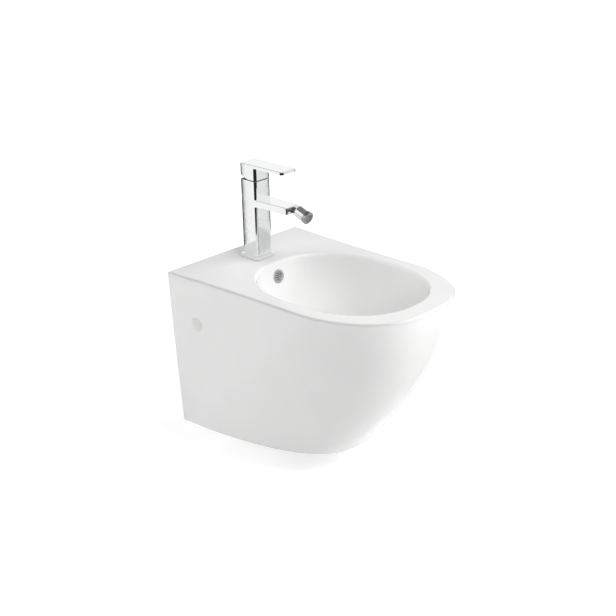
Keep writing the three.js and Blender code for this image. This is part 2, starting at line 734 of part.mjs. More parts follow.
// Turns a piece made round the upright axis to lie along the side screw, pointing outwards
function alongScrew(geometry) {
  const placed = geometry.clone();
  placed.rotateY(QUARTER_TURN);
  placed.translate(0, -SIDE_SCREW_SETBACK, 0);
  return placed;
}

const BUSH_LENGTH = SHELL_WALL + SIDE_BOSS_LENGTH - SIDE_SCREW_SINK / 2;
const bushOuterEnd = sideReach - CAP_SINK - CAP_EDGE - CAP_DOME;
const bushInnerEnd = bushOuterEnd - BUSH_LENGTH;
const armFace = STUD_SPACING / 2 + BRACKET_STUD_OFFSET + BRACKET_WIDTH / 2;

function ceramicBody() {
  let body = solid(bodySkin()).subtract(bodyHollow().subtract(solid(bowlForm(BOWL_WALL, 0))));
  const ductBand = (lengthen, half) => bandAlong(ductLine(lengthen), half);
  const ductHalf = DUCT_WIDTH / 2;
  const ductShell = sidewaysPrism(
    ductBand(DUCT_WALL, DUCT_DEPTH / 2 + DUCT_WALL),
    -ductHalf - DUCT_WALL,
    ductHalf + DUCT_WALL,
  );
  const drainBoss = rod(DRAIN_BOSS_RADIUS, FLOOR_Z - DRAIN_BOSS_DEPTH, FLOOR_Z, FINE_FACETS);
  drainBoss.translate(0, -DRAIN_SETBACK, 0);
  body = body.add(solid(ductShell)).add(solid(drainBoss));
  const sideBoss = alongScrew(rod(
    SIDE_BOSS_RADIUS,
    sideReach - SHELL_WALL - SIDE_BOSS_LENGTH,
    sideReach - SHELL_WALL / 2,
    ROUND_FACETS,
  ));
  body = body.add(solid(sideBoss)).add(solid(mirrored(sideBoss)));
  body = body.subtract(solid(bowlForm(0, BOWL_EDGE_ROUND)));

  const tools = [];
  tools.push(sidewaysPrism(ductBand(0, DUCT_DEPTH / 2), -ductHalf, ductHalf));
  tools.push(atOverflow(rod(OVERFLOW_HOLE_RADIUS, -BOWL_WALL - DUCT_DEPTH / 2, CUT_OVERRUN, ROUND_FACETS)));
  tools.push(atOverflow(rod(OVERFLOW_RING_RADIUS + SEAT_GAP, 0, CUT_OVERRUN, ROUND_FACETS)));
  const drainHole = rod(DRAIN_HOLE_RADIUS, FLOOR_Z - DRAIN_BOSS_DEPTH - CUT_OVERRUN, RIM_Z, FINE_FACETS);
  drainHole.translate(0, -DRAIN_SETBACK, 0);
  tools.push(drainHole);
  const flangeSeat = rod(FLANGE_RADIUS + SEAT_GAP, FLOOR_Z - FLANGE_RECESS, RIM_Z, FINE_FACETS);
  flangeSeat.translate(0, -DRAIN_SETBACK, 0);
  tools.push(flangeSeat);
  const deckBottom = RIM_Z - DECK_THICKNESS;
  const tapHole = rod(TAP_HOLE_RADIUS, deckBottom - CUT_OVERRUN, RIM_Z + CUT_OVERRUN, ROUND_FACETS);
  tapHole.translate(0, -TAP_SETBACK, 0);
  tools.push(tapHole);
  const serviceHalf = SERVICE_WIDTH / 2;
  const servicePlan = roundedPlan(-serviceHalf, serviceHalf, -SERVICE_BACK, -SERVICE_FRONT, SERVICE_CORNER);
  tools.push(prism(servicePlan, FOOT_Z - CUT_OVERRUN, FOOT_Z + FLOOR_THICKNESS + CUT_OVERRUN));
  tools.push(throughRearWall(
    -WALL_OPENING_WIDTH / 2,
    WALL_OPENING_WIDTH / 2,
    WALL_OPENING_BOTTOM,
    WALL_OPENING_TOP,
    WALL_OPENING_CORNER,
  ));
  const pocketHalf = BRACKET_HEIGHT / 2 + POCKET_CLEARANCE;
  const pocket = throughRearWall(
    armFace - BRACKET_WIDTH - POCKET_CLEARANCE,
    armFace + POCKET_CLEARANCE,
    -pocketHalf,
    pocketHalf,
    POCKET_CORNER,
  );
  const screwHole = alongScrew(rod(
    BUSH_RADIUS + SEAT_GAP,
    sideReach - SHELL_WALL - SIDE_BOSS_LENGTH - CUT_OVERRUN,
    sideReach + CUT_OVERRUN,
    ROUND_FACETS,
  ));
  const capSeat = onSide(rod(CAP_RADIUS + SEAT_GAP, -CAP_SINK - SEAT_GAP, CUT_OVERRUN, ROUND_FACETS));
  for (const tool of [pocket, screwHole, capSeat]) {
    tools.push(tool, mirrored(tool));
  }
  return cut(surface(body), ...tools);
}

// A round-cornered cutter that runs through the rear wall
function throughRearWall(left, right, low, high, corner) {
  const cutter = prism(roundedPlan(left, right, high, low, corner), -CUT_OVERRUN, REAR_WALL + CUT_OVERRUN);
  cutter.rotateX(QUARTER_TURN);
  return cutter;
}

// Wall bracket, right side: a plate on the wall stud and an arm with a fixed nut for the side screw
function wallBracket() {
  const plate = block(
    [armFace - BRACKET_WIDTH, armFace],
    [-SEAT_GAP - BRACKET_PLATE, -SEAT_GAP],
    [-BRACKET_HEIGHT / 2, BRACKET_HEIGHT / 2],
  );
  const arm = block(
    [armFace - BRACKET_PLATE, armFace],
    [-ARM_LENGTH, -SEAT_GAP - BRACKET_PLATE / 2],
    [-ARM_HEIGHT / 2, ARM_HEIGHT / 2],
  );
  const inner = armFace - BRACKET_PLATE - ARM_NUT_LENGTH;
  const nut = alongScrew(rod(ARM_NUT_RADIUS, inner, armFace - BRACKET_PLATE / 2, HEX_SIDES));
  const studHole = rod(STUD_RADIUS + STUD_CLEARANCE, -CUT_OVERRUN, BRACKET_PLATE + CUT_OVERRUN, SMALL_FACETS);
  studHole.rotateX(QUARTER_TURN);
  studHole.translate(STUD_SPACING / 2, 0, 0);
  const screwHole = alongScrew(rod(
    SIDE_SCREW_RADIUS + SEAT_GAP,
    inner - CUT_OVERRUN,
    armFace + CUT_OVERRUN,
    SMALL_FACETS,
  ));
  return cut(join(plate, arm, nut), studHole, screwHole);
}

// Turns an upright piece to point away from the wall, on the right wall stud
function onStud(geometry, front) {
  const placed = geometry.clone();
  placed.rotateX(QUARTER_TURN);
  placed.translate(STUD_SPACING / 2, -front, 0);
  return placed;
}

const washerFront = SEAT_GAP + BRACKET_PLATE + SEAT_GAP;
const nutFront = washerFront + WASHER_THICKNESS + SEAT_GAP;

function wallStud() {
  return onStud(rod(STUD_RADIUS, 0, STUD_LENGTH, SMALL_FACETS), SEAT_GAP);
}

function wallWasher() {
  const bore = STUD_RADIUS + STUD_CLEARANCE;
  return onStud(ring(WASHER_RADIUS, bore, 0, WASHER_THICKNESS, SMALL_FACETS), washerFront);
}

function wallNut() {
  const outside = rod(NUT_RADIUS, 0, NUT_LENGTH, HEX_SIDES);
  const thread = rod(STUD_RADIUS + STUD_CLEARANCE, -CUT_OVERRUN, NUT_LENGTH + CUT_OVERRUN, SMALL_FACETS);
  return onStud(cut(outside, thread), nutFront);
}

const headSeat = bushOuterEnd - SIDE_SCREW_SINK - SIDE_SCREW_HEAD_LENGTH;

function sideScrew() {
  const screwEnd = armFace - BRACKET_PLATE - ARM_NUT_LENGTH - SIDE_SCREW_END;
  return alongScrew(turned([
    [0, screwEnd],
    [SIDE_SCREW_RADIUS, screwEnd],
    [SIDE_SCREW_RADIUS, headSeat],
    [SIDE_SCREW_HEAD_RADIUS, headSeat],
    [SIDE_SCREW_HEAD_RADIUS, headSeat + SIDE_SCREW_HEAD_LENGTH],
    [0, headSeat + SIDE_SCREW_HEAD_LENGTH],
  ], SMALL_FACETS));
}

function sideBush() {
  const bore = BUSH_RADIUS - BUSH_WALL;
  return alongScrew(turned([
    [SIDE_SCREW_RADIUS + SEAT_GAP, bushInnerEnd],
    [BUSH_RADIUS, bushInnerEnd],
    [BUSH_RADIUS, bushOuterEnd],
    [bore, bushOuterEnd],
    [bore, headSeat - SEAT_GAP],
    [SIDE_SCREW_RADIUS + SEAT_GAP, headSeat - SEAT_GAP],
    [SIDE_SCREW_RADIUS + SEAT_GAP, bushInnerEnd],
  ], SMALL_FACETS));
}

// Cover cap: a shallow domed disc with a hollow plug that grips the bush's bore
function sideCap() {
  const back = -CAP_SINK;
  const front = back + CAP_EDGE;
  const plug = CAP_PLUG_RADIUS - CAP_PLUG_WALL;
  return onSide(turned([
    [0, back],
    [plug, back],
    [plug, back - CAP_PLUG_LENGTH],
    [CAP_PLUG_RADIUS, back - CAP_PLUG_LENGTH],
    [CAP_PLUG_RADIUS, back],
    [CAP_RADIUS, back],
    [CAP_RADIUS, front - CAP_DOME],
    [CAP_RADIUS - CAP_DOME, front],
    [CAP_RADIUS / 2, front + CAP_DOME],
    [0, front + CAP_DOME],
  ], ROUND_FACETS));
}

// Tap pieces are made round the tap's upright axis, with z measured from the deck
function tapGasket() {
  const half = TAP_PLATE_WIDTH / 2 - TAP_GASKET_INSET;
  const reach = TAP_PLATE_LENGTH / 2 - TAP_GASKET_INSET;
  const plan = roundedPlan(-half, half, reach, -reach, TAP_PLATE_CORNER);
  const hole = rod(SPIGOT_RADIUS + SEAT_GAP, -CUT_OVERRUN, CUT_OVERRUN, ROUND_FACETS);
  return cut(prism(plan, SEAT_GAP, SEAT_GAP + TAP_GASKET_THICKNESS), hole);
}

function tapPlate() {
  const half = TAP_PLATE_WIDTH / 2;
  const reach = TAP_PLATE_LENGTH / 2;
  const low = TAP_GASKET_THICKNESS + 2 * SEAT_GAP;
  const high = low + TAP_PLATE_THICKNESS;
  const plate = prism(roundedPlan(-half, half, reach, -reach, TAP_PLATE_CORNER), low, high, TAP_PLATE_EDGE);
  return cut(plate, rod(SPIGOT_RADIUS + SEAT_GAP, low - CUT_OVERRUN, high + CUT_OVERRUN, ROUND_FACETS));
}

// Plan of the spout: as wide as the body at its root, narrower at its round-cornered tip
function spoutPlan() {
  const root = TAP_BODY_WIDTH / 2;
  const tip = SPOUT_TIP_WIDTH / 2;
  const shape = new THREE.Shape();
  shape.moveTo(root, 0);
  shape.lineTo(-root, 0);
  shape.lineTo(-root, -TAP_BODY_LENGTH / 2);
  const cornerPlace = SPOUT_TIP - SPOUT_TIP_CORNER;
  roundCorner(shape, SPOUT_TIP_CORNER - tip, -cornerPlace, SPOUT_TIP_CORNER, 2);
  roundCorner(shape, tip - SPOUT_TIP_CORNER, -cornerPlace, SPOUT_TIP_CORNER, 3);
  shape.lineTo(root, -TAP_BODY_LENGTH / 2);
  return shape;
}

function tapBody() {
  const half = TAP_BODY_WIDTH / 2;
  const reach = TAP_BODY_LENGTH / 2;
  const tower = prism(roundedPlan(-half, half, reach, -reach, TAP_BODY_CORNER), BODY_FOOT, TAP_BODY_TOP);
  const spout = prism(spoutPlan(), SPOUT_UNDERSIDE, SPOUT_UNDERSIDE + SPOUT_THICKNESS, SPOUT_EDGE);
  const spigot = rod(SPIGOT_RADIUS, -SPIGOT_LENGTH, BODY_FOOT + CUT_OVERRUN, ROUND_FACETS);
  const tools = [rod(CARTRIDGE_BORE_RADIUS, CARTRIDGE_SEAT, BORE_TOP, ROUND_FACETS)];
  for (const side of [-1, 1]) {
    const port = rod(PORT_RADIUS, -SPIGOT_LENGTH - CUT_OVERRUN, PORT_DEPTH - SPIGOT_LENGTH, TINY_FACETS);
    const passage = rod(PASSAGE_RADIUS, 0, CARTRIDGE_SEAT + CUT_OVERRUN, TINY_FACETS);
    for (const hole of [port, passage]) {
      hole.translate(side * PORT_SPREAD, PORT_BACK, 0);
      tools.push(hole);
    }
  }
  const studTop = FIXING_STUD_DEPTH - SPIGOT_LENGTH + SEAT_GAP;
  const studHole = rod(FIXING_STUD_RADIUS + SEAT_GAP, -SPIGOT_LENGTH - CUT_OVERRUN, studTop, TINY_FACETS);
  studHole.translate(0, -FIXING_STUD_FORWARD, 0);
  const down = rod(SPOUT_BORE_RADIUS, SPOUT_MIDDLE, CARTRIDGE_SEAT + CUT_OVERRUN, TINY_FACETS);
  down.translate(0, -OUTLET_FORWARD, 0);
  const along = rod(SPOUT_BORE_RADIUS, OUTLET_FORWARD, SPOUT_TIP + CUT_OVERRUN, TINY_FACETS);
  const thread = rod(
    NECK_THREAD_RADIUS + SEAT_GAP,
    SPOUT_TIP - NECK_THREAD_LENGTH - SEAT_GAP,
    SPOUT_TIP + CUT_OVERRUN,
    SMALL_FACETS,
  );
  for (const bore of [along, thread]) {
    bore.rotateX(QUARTER_TURN);
    bore.translate(0, 0, SPOUT_MIDDLE);
  }
  tools.push(studHole, down, along, thread);
  return cut(join(tower, spout, spigot), ...tools);
}

const rubberTop = -DECK_THICKNESS - SEAT_GAP;
const steelTop = rubberTop - RUBBER_THICKNESS - SEAT_GAP;
const fixingNutTop = steelTop - STEEL_THICKNESS - SEAT_GAP;

// Horseshoe: a disc with a slot to the rear for the hoses and a hole for the fixing stud
function horseshoe(top, thickness) {
  const low = top - thickness;
  const disc = rod(HORSESHOE_RADIUS, low, top, ROUND_FACETS);
  const slotHalf = HORSESHOE_SLOT_WIDTH / 2;
  const slot = block(
    [-slotHalf, slotHalf],
    [-HORSESHOE_SLOT_FRONT, HORSESHOE_RADIUS + CUT_OVERRUN],
    [low - CUT_OVERRUN, top + CUT_OVERRUN],
  );
  const hole = rod(FIXING_STUD_RADIUS + SEAT_GAP, low - CUT_OVERRUN, top + CUT_OVERRUN, TINY_FACETS);
  hole.translate(0, -FIXING_STUD_FORWARD, 0);
  return cut(disc, slot, hole);
}

function fixingStud() {
  const stud = rod(FIXING_STUD_RADIUS, -FIXING_STUD_HANG, FIXING_STUD_DEPTH - SPIGOT_LENGTH, TINY_FACETS);
  stud.translate(0, -FIXING_STUD_FORWARD, 0);
  return stud;
}

function fixingNut() {
  const low = fixingNutTop - FIXING_NUT_LENGTH;
  const outside = rod(FIXING_NUT_RADIUS, low, fixingNutTop, HEX_SIDES);
  const bore = FIXING_STUD_RADIUS + SEAT_GAP;
  const thread = rod(bore, low - CUT_OVERRUN, fixingNutTop + CUT_OVERRUN, TINY_FACETS);
  const nut = cut(outside, thread);
  nut.translate(0, -FIXING_STUD_FORWARD, 0);
  return nut;
}

// Cutters for the two inlets and the outlet, through anything that lies on the cartridge's seat
function portCutters(low, high) {
  const places = [[-PORT_SPREAD, PORT_BACK], [PORT_SPREAD, PORT_BACK], [0, -OUTLET_FORWARD]];
  return places.map(([x, y]) => {
    const cutter = rod(PASSAGE_RADIUS, low - CUT_OVERRUN, high + CUT_OVERRUN, TINY_FACETS);
    cutter.translate(x, y, 0);
    return cutter;
  });
}

function cartridgeSeal() {
  const low = CARTRIDGE_SEAT + SEAT_GAP;
  const high = low + CARTRIDGE_SEAL_THICKNESS;
  return cut(rod(CARTRIDGE_RADIUS, low, high, ROUND_FACETS), ...portCutters(low, high));
}

function cartridgeHousing() {
  const floorTop = CARTRIDGE_BOTTOM + CARTRIDGE_FLOOR;
  const cup = turned([
    [0, CARTRIDGE_BOTTOM],
    [CARTRIDGE_RADIUS, CARTRIDGE_BOTTOM],
    [CARTRIDGE_RADIUS, CARTRIDGE_TOP],
    [TURNER_NECK_RADIUS + SEAT_GAP, CARTRIDGE_TOP],
    [TURNER_NECK_RADIUS + SEAT_GAP, SHOULDER_BOTTOM],
    [CHAMBER_RADIUS, SHOULDER_BOTTOM],
    [CHAMBER_RADIUS, floorTop],
    [0, floorTop],
  ], ROUND_FACETS);
  const cutters = portCutters(CARTRIDGE_BOTTOM, CARTRIDGE_BOTTOM);
  return cut(cup, ...cutters);
}

function fixedDisc() {
  const high = FIXED_DISC_BOTTOM + FIXED_DISC_THICKNESS;
  const disc = rod(CHAMBER_RADIUS - SEAT_GAP, FIXED_DISC_BOTTOM, high, ROUND_FACETS);
  return cut(disc, ...portCutters(FIXED_DISC_BOTTOM, high));
}

// Moving disc, with a pocket on top that the stem's foot drives
function movingDisc() {
  const half = STEM_THICKNESS / 2 + SEAT_GAP;
  const pocket = block(
    [-half, half],
    [-DISC_POCKET_LENGTH / 2, DISC_POCKET_LENGTH / 2],
    [MOVING_DISC_TOP - DISC_POCKET_DEPTH, MOVING_DISC_TOP + CUT_OVERRUN],
  );
  return cut(rod(MOVING_DISC_RADIUS, MOVING_DISC_BOTTOM, MOVING_DISC_TOP, SMALL_FACETS), pocket);
}

// Turner: a flanged sleeve whose slot leaves the stem room to tilt
function turner() {
  const low = MOVING_DISC_TOP + SEAT_GAP;
  const flangeTop = SHOULDER_BOTTOM - SEAT_GAP;
  const flange = CHAMBER_RADIUS - SEAT_GAP;
  const sleeve = turned([
    [0, low],
    [flange, low],
    [flange, flangeTop],
    [TURNER_NECK_RADIUS, flangeTop],
    [TURNER_NECK_RADIUS, TURNER_TOP],
    [0, TURNER_TOP],
  ], ROUND_FACETS);
  const lift = radians(LIFT_ANGLE);
  const straight = STEM_THICKNESS / 2 + STEM_CLEARANCE;
  const leaning = STEM_THICKNESS / 2 / Math.cos(lift) + STEM_CLEARANCE;
  const top = TURNER_TOP + CUT_OVERRUN;
  const bottom = low - CUT_OVERRUN;
  const slot = sidewaysPrism([
    [-straight, top],
    [-straight, STEM_PIVOT],
    [-leaning, STEM_PIVOT],
    [-leaning - (STEM_PIVOT - bottom) * Math.tan(lift), bottom],
    [straight, bottom],
    [straight, STEM_PIVOT],
    [leaning, STEM_PIVOT],
    [leaning + (top - STEM_PIVOT) * Math.tan(lift), top],
  ], -STEM_THICKNESS / 2 - STEM_CLEARANCE, STEM_THICKNESS / 2 + STEM_CLEARANCE);
  return cut(sleeve, slot);
}

function stem() {
  const half = STEM_THICKNESS / 2;
  const foot = MOVING_DISC_TOP - DISC_POCKET_DEPTH + SEAT_GAP;
  return block([-half, half], [-half, half], [foot, STEM_TOP]);
}

function cartridgeNut() {
  const low = CARTRIDGE_TOP + SEAT_GAP;
  const inner = TURNER_NECK_RADIUS + 2 * SEAT_GAP;
  return ring(CARTRIDGE_BORE_RADIUS - SEAT_GAP, inner, low, low + CARTRIDGE_NUT_LENGTH, ROUND_FACETS);
}

// Lever and grip block in one casting, open below, with a hub for the stem
function handle() {
  const half = TAP_BODY_WIDTH / 2;
  const reach = TAP_BODY_LENGTH / 2;
  const grip = prism(roundedPlan(-half, half, reach, -reach, TAP_BODY_CORNER), GRIP_BOTTOM, GRIP_TOP);
  const hollowHalf = half - HANDLE_WALL;
  const hollowReach = reach - HANDLE_WALL;
  const hollowPlan = roundedPlan(-hollowHalf, hollowHalf, hollowReach, -hollowReach, HANDLE_WALL);
  const hollow = prism(hollowPlan, GRIP_BOTTOM - CUT_OVERRUN, GRIP_TOP - HANDLE_WALL / 2);
  const leverShape = new THREE.Shape();
  const tip = LEVER_LENGTH - reach;
  roundCorner(leverShape, half - TAP_BODY_CORNER, reach - TAP_BODY_CORNER, TAP_BODY_CORNER, 0);
  roundCorner(leverShape, TAP_BODY_CORNER - half, reach - TAP_BODY_CORNER, TAP_BODY_CORNER, 1);
  roundCorner(leverShape, LEVER_TIP_CORNER - half, LEVER_TIP_CORNER - tip, LEVER_TIP_CORNER, 2);
  roundCorner(leverShape, half - LEVER_TIP_CORNER, LEVER_TIP_CORNER - tip, LEVER_TIP_CORNER, 3);
  const lever = prism(leverShape, GRIP_TOP - SEAT_GAP, HANDLE_TOP);
  const hub = rod(HANDLE_HUB_RADIUS, HANDLE_HUB_BOTTOM, HANDLE_TOP - LEVER_THICKNESS / 2, SMALL_FACETS);
  const whole = solid(grip).subtract(solid(hollow)).add(solid(lever)).add(solid(hub));
  const socketHalf = STEM_THICKNESS / 2 + SEAT_GAP;
  const socket = block(
    [-socketHalf, socketHalf],
    [-socketHalf, socketHalf],
    [HANDLE_HUB_BOTTOM - CUT_OVERRUN, STEM_TOP + SEAT_GAP],
  );
  const tools = [socket, heelCutter(half, reach)];
  const grubHole = rod(GRUB_RADIUS + SEAT_GAP, 0, reach + CUT_OVERRUN, TINY_FACETS);
  const toolHole = rod(GRUB_TOOL_RADIUS, HANDLE_HUB_RADIUS, reach + CUT_OVERRUN, TINY_FACETS);
  const capSeat = rod(
    GRUB_CAP_RADIUS + SEAT_GAP,
    reach - GRUB_CAP_THICKNESS - SEAT_GAP,
    reach + CUT_OVERRUN,
    TINY_FACETS,
  );
  for (const hole of [grubHole, toolHole, capSeat]) {
    tools.push(toRear(hole));
  }
  return cut(surface(whole), ...tools);
}

// Turns an upright piece to point to the wall at the grub screw's height
function toRear(geometry) {
  const placed = geometry.clone();
  placed.rotateX(-QUARTER_TURN);
  placed.translate(0, 0, GRUB_HEIGHT);
  return placed;
}

// Takes away the heel of the grip, so that it clears the body when the lever lifts
function heelCutter(half, reach) {
  const lift = radians(LIFT_ANGLE);
  const rise = TAP_BODY_TOP + HANDLE_HEEL_CLEARANCE - STEM_PIVOT;
  const bottomAt = (y) => STEM_PIVOT + (rise + y * Math.sin(lift)) / Math.cos(lift);
  const rear = reach + CUT_OVERRUN;
  const front = -reach / 2;
  const low = GRIP_BOTTOM - CUT_OVERRUN;
  const corners = [[front, low], [rear, low], [rear, bottomAt(rear)], [front, bottomAt(front)]];
  return sidewaysPrism(corners, -half - CUT_OVERRUN, half + CUT_OVERRUN);
}

const grubStart = STEM_THICKNESS / 2 + SEAT_GAP;

function grubScrew() {
  return toRear(rod(GRUB_RADIUS, grubStart, grubStart + GRUB_LENGTH, TINY_FACETS));
}

function grubCap() {
  const reach = TAP_BODY_LENGTH / 2;
  return toRear(rod(GRUB_CAP_RADIUS, reach - GRUB_CAP_THICKNESS, reach, TINY_FACETS));
}

// Arc of [radius, height] corners on a sphere round the origin, by angles from the rear pole
function sphereArc(radius, fromAngle, toAngle, steps) {
  const corners = [];
  for (let i = 0; i <= steps; i += 1) {
    const angle = radians(mix(fromAngle, toAngle, i / steps));
    corners.push([radius * Math.sin(angle), -radius * Math.cos(angle)]);
  }
  return corners;
}

// Ball, neck, flange and thread in one turned piece, bored through
function ballJoint() {
  const neckAngle = degrees(Math.asin(NECK_RADIUS / BALL_RADIUS));
  const boreAngle = degrees(Math.PI - Math.asin(NECK_BORE_RADIUS / BALL_RADIUS));
  const flangeBack = SEAT_GAP - BALL_OFFSET;
  const flangeFront = flangeBack + NECK_FLANGE_LENGTH;
  const threadBack = flangeBack - NECK_THREAD_LENGTH;
  return turned([
    [NECK_BORE_RADIUS, threadBack],
    [NECK_THREAD_RADIUS, threadBack],
    [NECK_THREAD_RADIUS, flangeBack],
    [NECK_FLANGE_RADIUS, flangeBack],
    [NECK_FLANGE_RADIUS, flangeFront],
    [NECK_RADIUS, flangeFront],
    ...sphereArc(BALL_RADIUS, neckAngle, boreAngle, BALL_STEPS),
    [NECK_BORE_RADIUS, threadBack],
  ], ROUND_FACETS);
}

function nozzleSeatRing() {
  const inside = BALL_RADIUS + SEAT_GAP;
  const outside = inside + SEAT_RING_THICKNESS;
  const inner = sphereArc(inside, SEAT_RING_START_ANGLE, SEAT_RING_END_ANGLE, LIP_STEPS);
  const outer = sphereArc(outside, SEAT_RING_START_ANGLE, SEAT_RING_END_ANGLE, LIP_STEPS).reverse();
  return turned([...inner, ...outer, inner[0]], ROUND_FACETS);
}

const collarStart = NOZZLE_LENGTH - COLLAR_LENGTH;
const aeratorEnd = NOZZLE_LENGTH - COLLAR_LIP_LENGTH - SEAT_GAP;
const aeratorStart = aeratorEnd - AERATOR_THICKNESS;
const nozzleWasherStart = aeratorStart - SEAT_GAP - NOZZLE_WASHER_THICKNESS;
const housingEnd = collarStart + COLLAR_OVERLAP - SEAT_GAP;
const housingSpigot = NOZZLE_CUP_RADIUS + SPIGOT_WALL;

// Housing: a mouth that holds the ball, a cup for the seat ring and a spigot for the collar
function nozzleHousing() {
  const lip = sphereArc(BALL_RADIUS + SEAT_GAP, NOZZLE_MOUTH_ANGLE, NOZZLE_LIP_ANGLE, LIP_STEPS);
  const back = lip[0][1];
  return turned([
    ...lip,
    [NOZZLE_CUP_RADIUS, lip.at(-1)[1]],
    [NOZZLE_CUP_RADIUS, housingEnd],
    [housingSpigot, housingEnd],
    [housingSpigot, collarStart - SEAT_GAP],
    [NOZZLE_RADIUS, collarStart - SEAT_GAP],
    [NOZZLE_RADIUS, back + NOZZLE_FRONT_WALL],
    [NOZZLE_BACK_RADIUS, back],
    lip[0],
  ], ROUND_FACETS);
}

function nozzleWasher() {
  const outer = NOZZLE_CUP_RADIUS - SEAT_GAP;
  const high = nozzleWasherStart + NOZZLE_WASHER_THICKNESS;
  return ring(outer, outer - NOZZLE_WASHER_WIDTH, nozzleWasherStart, high, ROUND_FACETS);
}

function aerator() {
  const holes = [];
  for (let i = 0; i < AERATOR_HOLES; i += 1) {
    const angle = (i / AERATOR_HOLES) * 2 * Math.PI;
    const hole = rod(AERATOR_HOLE_RADIUS, aeratorStart - CUT_OVERRUN, aeratorEnd + CUT_OVERRUN, HEX_SIDES);
    hole.translate(AERATOR_HOLE_CIRCLE * Math.cos(angle), AERATOR_HOLE_CIRCLE * Math.sin(angle), 0);
    holes.push(hole);
  }
  return cut(rod(AERATOR_RADIUS, aeratorStart, aeratorEnd, ROUND_FACETS), ...holes);
}

function nozzleCollar() {
  const outer = NOZZLE_RADIUS + COLLAR_PROUD;
  const bore = housingSpigot + SEAT_GAP;
  const inner = AERATOR_RADIUS - COLLAR_LIP;
  return turned([
    [bore, collarStart],
    [outer, collarStart],
    [outer, NOZZLE_LENGTH],
    [inner, NOZZLE_LENGTH],
    [inner, NOZZLE_LENGTH - COLLAR_LIP_LENGTH],
    [bore, NOZZLE_LENGTH - COLLAR_LIP_LENGTH],
    [bore, collarStart],
  ], ROUND_FACETS);
}

// Waste, plug and trap pieces are made round the drain's upright axis, with z from the bowl's floor
function wasteBody() {
  const bore = WASTE_RADIUS - WASTE_WALL;
  const tube = turned([
    [bore, -WASTE_LENGTH],
    [WASTE_RADIUS, -WASTE_LENGTH],
    [WASTE_RADIUS, -FLANGE_THICKNESS],
    [FLANGE_RADIUS, -FLANGE_THICKNESS],
    [FLANGE_RADIUS, -FLANGE_THICKNESS / 2],
    [FLANGE_RADIUS - FLANGE_THICKNESS / 2, 0],
    [FLANGE_MOUTH_RADIUS, 0],
    [bore, -FLANGE_CONE_DEPTH],
    [bore, -WASTE_LENGTH],
  ], FINE_FACETS);
  return tube;
}

function wasteBodyWithBars() {
  const slotLow = -WASTE_SLOT_TOP - WASTE_SLOT_HEIGHT;
  const slotHalf = WASTE_SLOT_WIDTH / 2;
  const reach = WASTE_RADIUS + CUT_OVERRUN;
  const slots = [
    block([-slotHalf, slotHalf], [-reach, reach], [slotLow, -WASTE_SLOT_TOP]),
    block([-reach, reach], [-slotHalf, slotHalf], [slotLow, -WASTE_SLOT_TOP]),
  ];
  const barLow = -WASTE_BAR_TOP - WASTE_BAR_THICKNESS;
  const barHalf = WASTE_BAR_WIDTH / 2;
  const barReach = WASTE_RADIUS - WASTE_WALL / 2;
  const hubBore = SLEEVE_RADIUS + SEAT_GAP;
  const bars = join(
    block([-barHalf, barHalf], [-barReach, barReach], [barLow, -WASTE_BAR_TOP]),
    block([-barReach, barReach], [-barHalf, barHalf], [barLow, -WASTE_BAR_TOP]),
    rod(hubBore + CLICK_HUB_WALL, barLow, -WASTE_BAR_TOP, SMALL_FACETS),
  );
  const hubHole = rod(hubBore, barLow - CUT_OVERRUN, CUT_OVERRUN - WASTE_BAR_TOP, SMALL_FACETS);
  return join(cut(wasteBody(), ...slots), cut(bars, hubHole));
}

function flangeSeal() {
  const high = -FLANGE_THICKNESS - SEAT_GAP;
  const outer = FLANGE_RADIUS - SEAT_GAP;
  return ring(outer, outer - FLANGE_SEAL_WIDTH, high - FLANGE_SEAL_THICKNESS, high, FINE_FACETS);
}

function lowerWasher() {
  const high = -DRAIN_BOSS_DEPTH - SEAT_GAP;
  const inner = WASTE_RADIUS + SEAT_GAP;
  return ring(LOWER_WASHER_RADIUS, inner, high - LOWER_WASHER_THICKNESS, high, FINE_FACETS);
}

function backnut() {
  const high = -DRAIN_BOSS_DEPTH - LOWER_WASHER_THICKNESS - 2 * SEAT_GAP;
  const low = high - BACKNUT_LENGTH;
  const thread = rod(WASTE_RADIUS + SEAT_GAP, low - CUT_OVERRUN, high + CUT_OVERRUN, FINE_FACETS);
  return cut(rod(BACKNUT_RADIUS, low, high, BACKNUT_SIDES), thread);
}

function plugCap() {
  return turned([
    [0, SEAT_GAP],
    [PLUG_CAP_RADIUS, SEAT_GAP],
    [PLUG_CAP_RADIUS, PLUG_CAP_TOP - PLUG_CAP_CROWN],
    [PLUG_CAP_RADIUS - PLUG_CAP_CROWN, PLUG_CAP_TOP - PLUG_CAP_CROWN / 2],
    [PLUG_CAP_RADIUS / 2, PLUG_CAP_TOP],
    [0, PLUG_CAP_TOP],
  ], FINE_FACETS);
}

function plugSeal() {
  const inner = PLUG_SEAL_RADIUS - PLUG_SEAL_WIDTH;
  return ring(PLUG_SEAL_RADIUS, inner, -PLUG_SEAL_THICKNESS, 0, ROUND_FACETS);
}

function plugStem() {
  return turned([
    [0, PLUG_STEM_BOTTOM],
    [PLUG_STEM_RADIUS, PLUG_STEM_BOTTOM],
    [PLUG_STEM_RADIUS, -PLUG_SEAL_THICKNESS],
    [PLUG_STEM_HUB_RADIUS, -PLUG_SEAL_THICKNESS],
    [PLUG_STEM_HUB_RADIUS, 0],
    [0, 0],
  ], SMALL_FACETS);
}

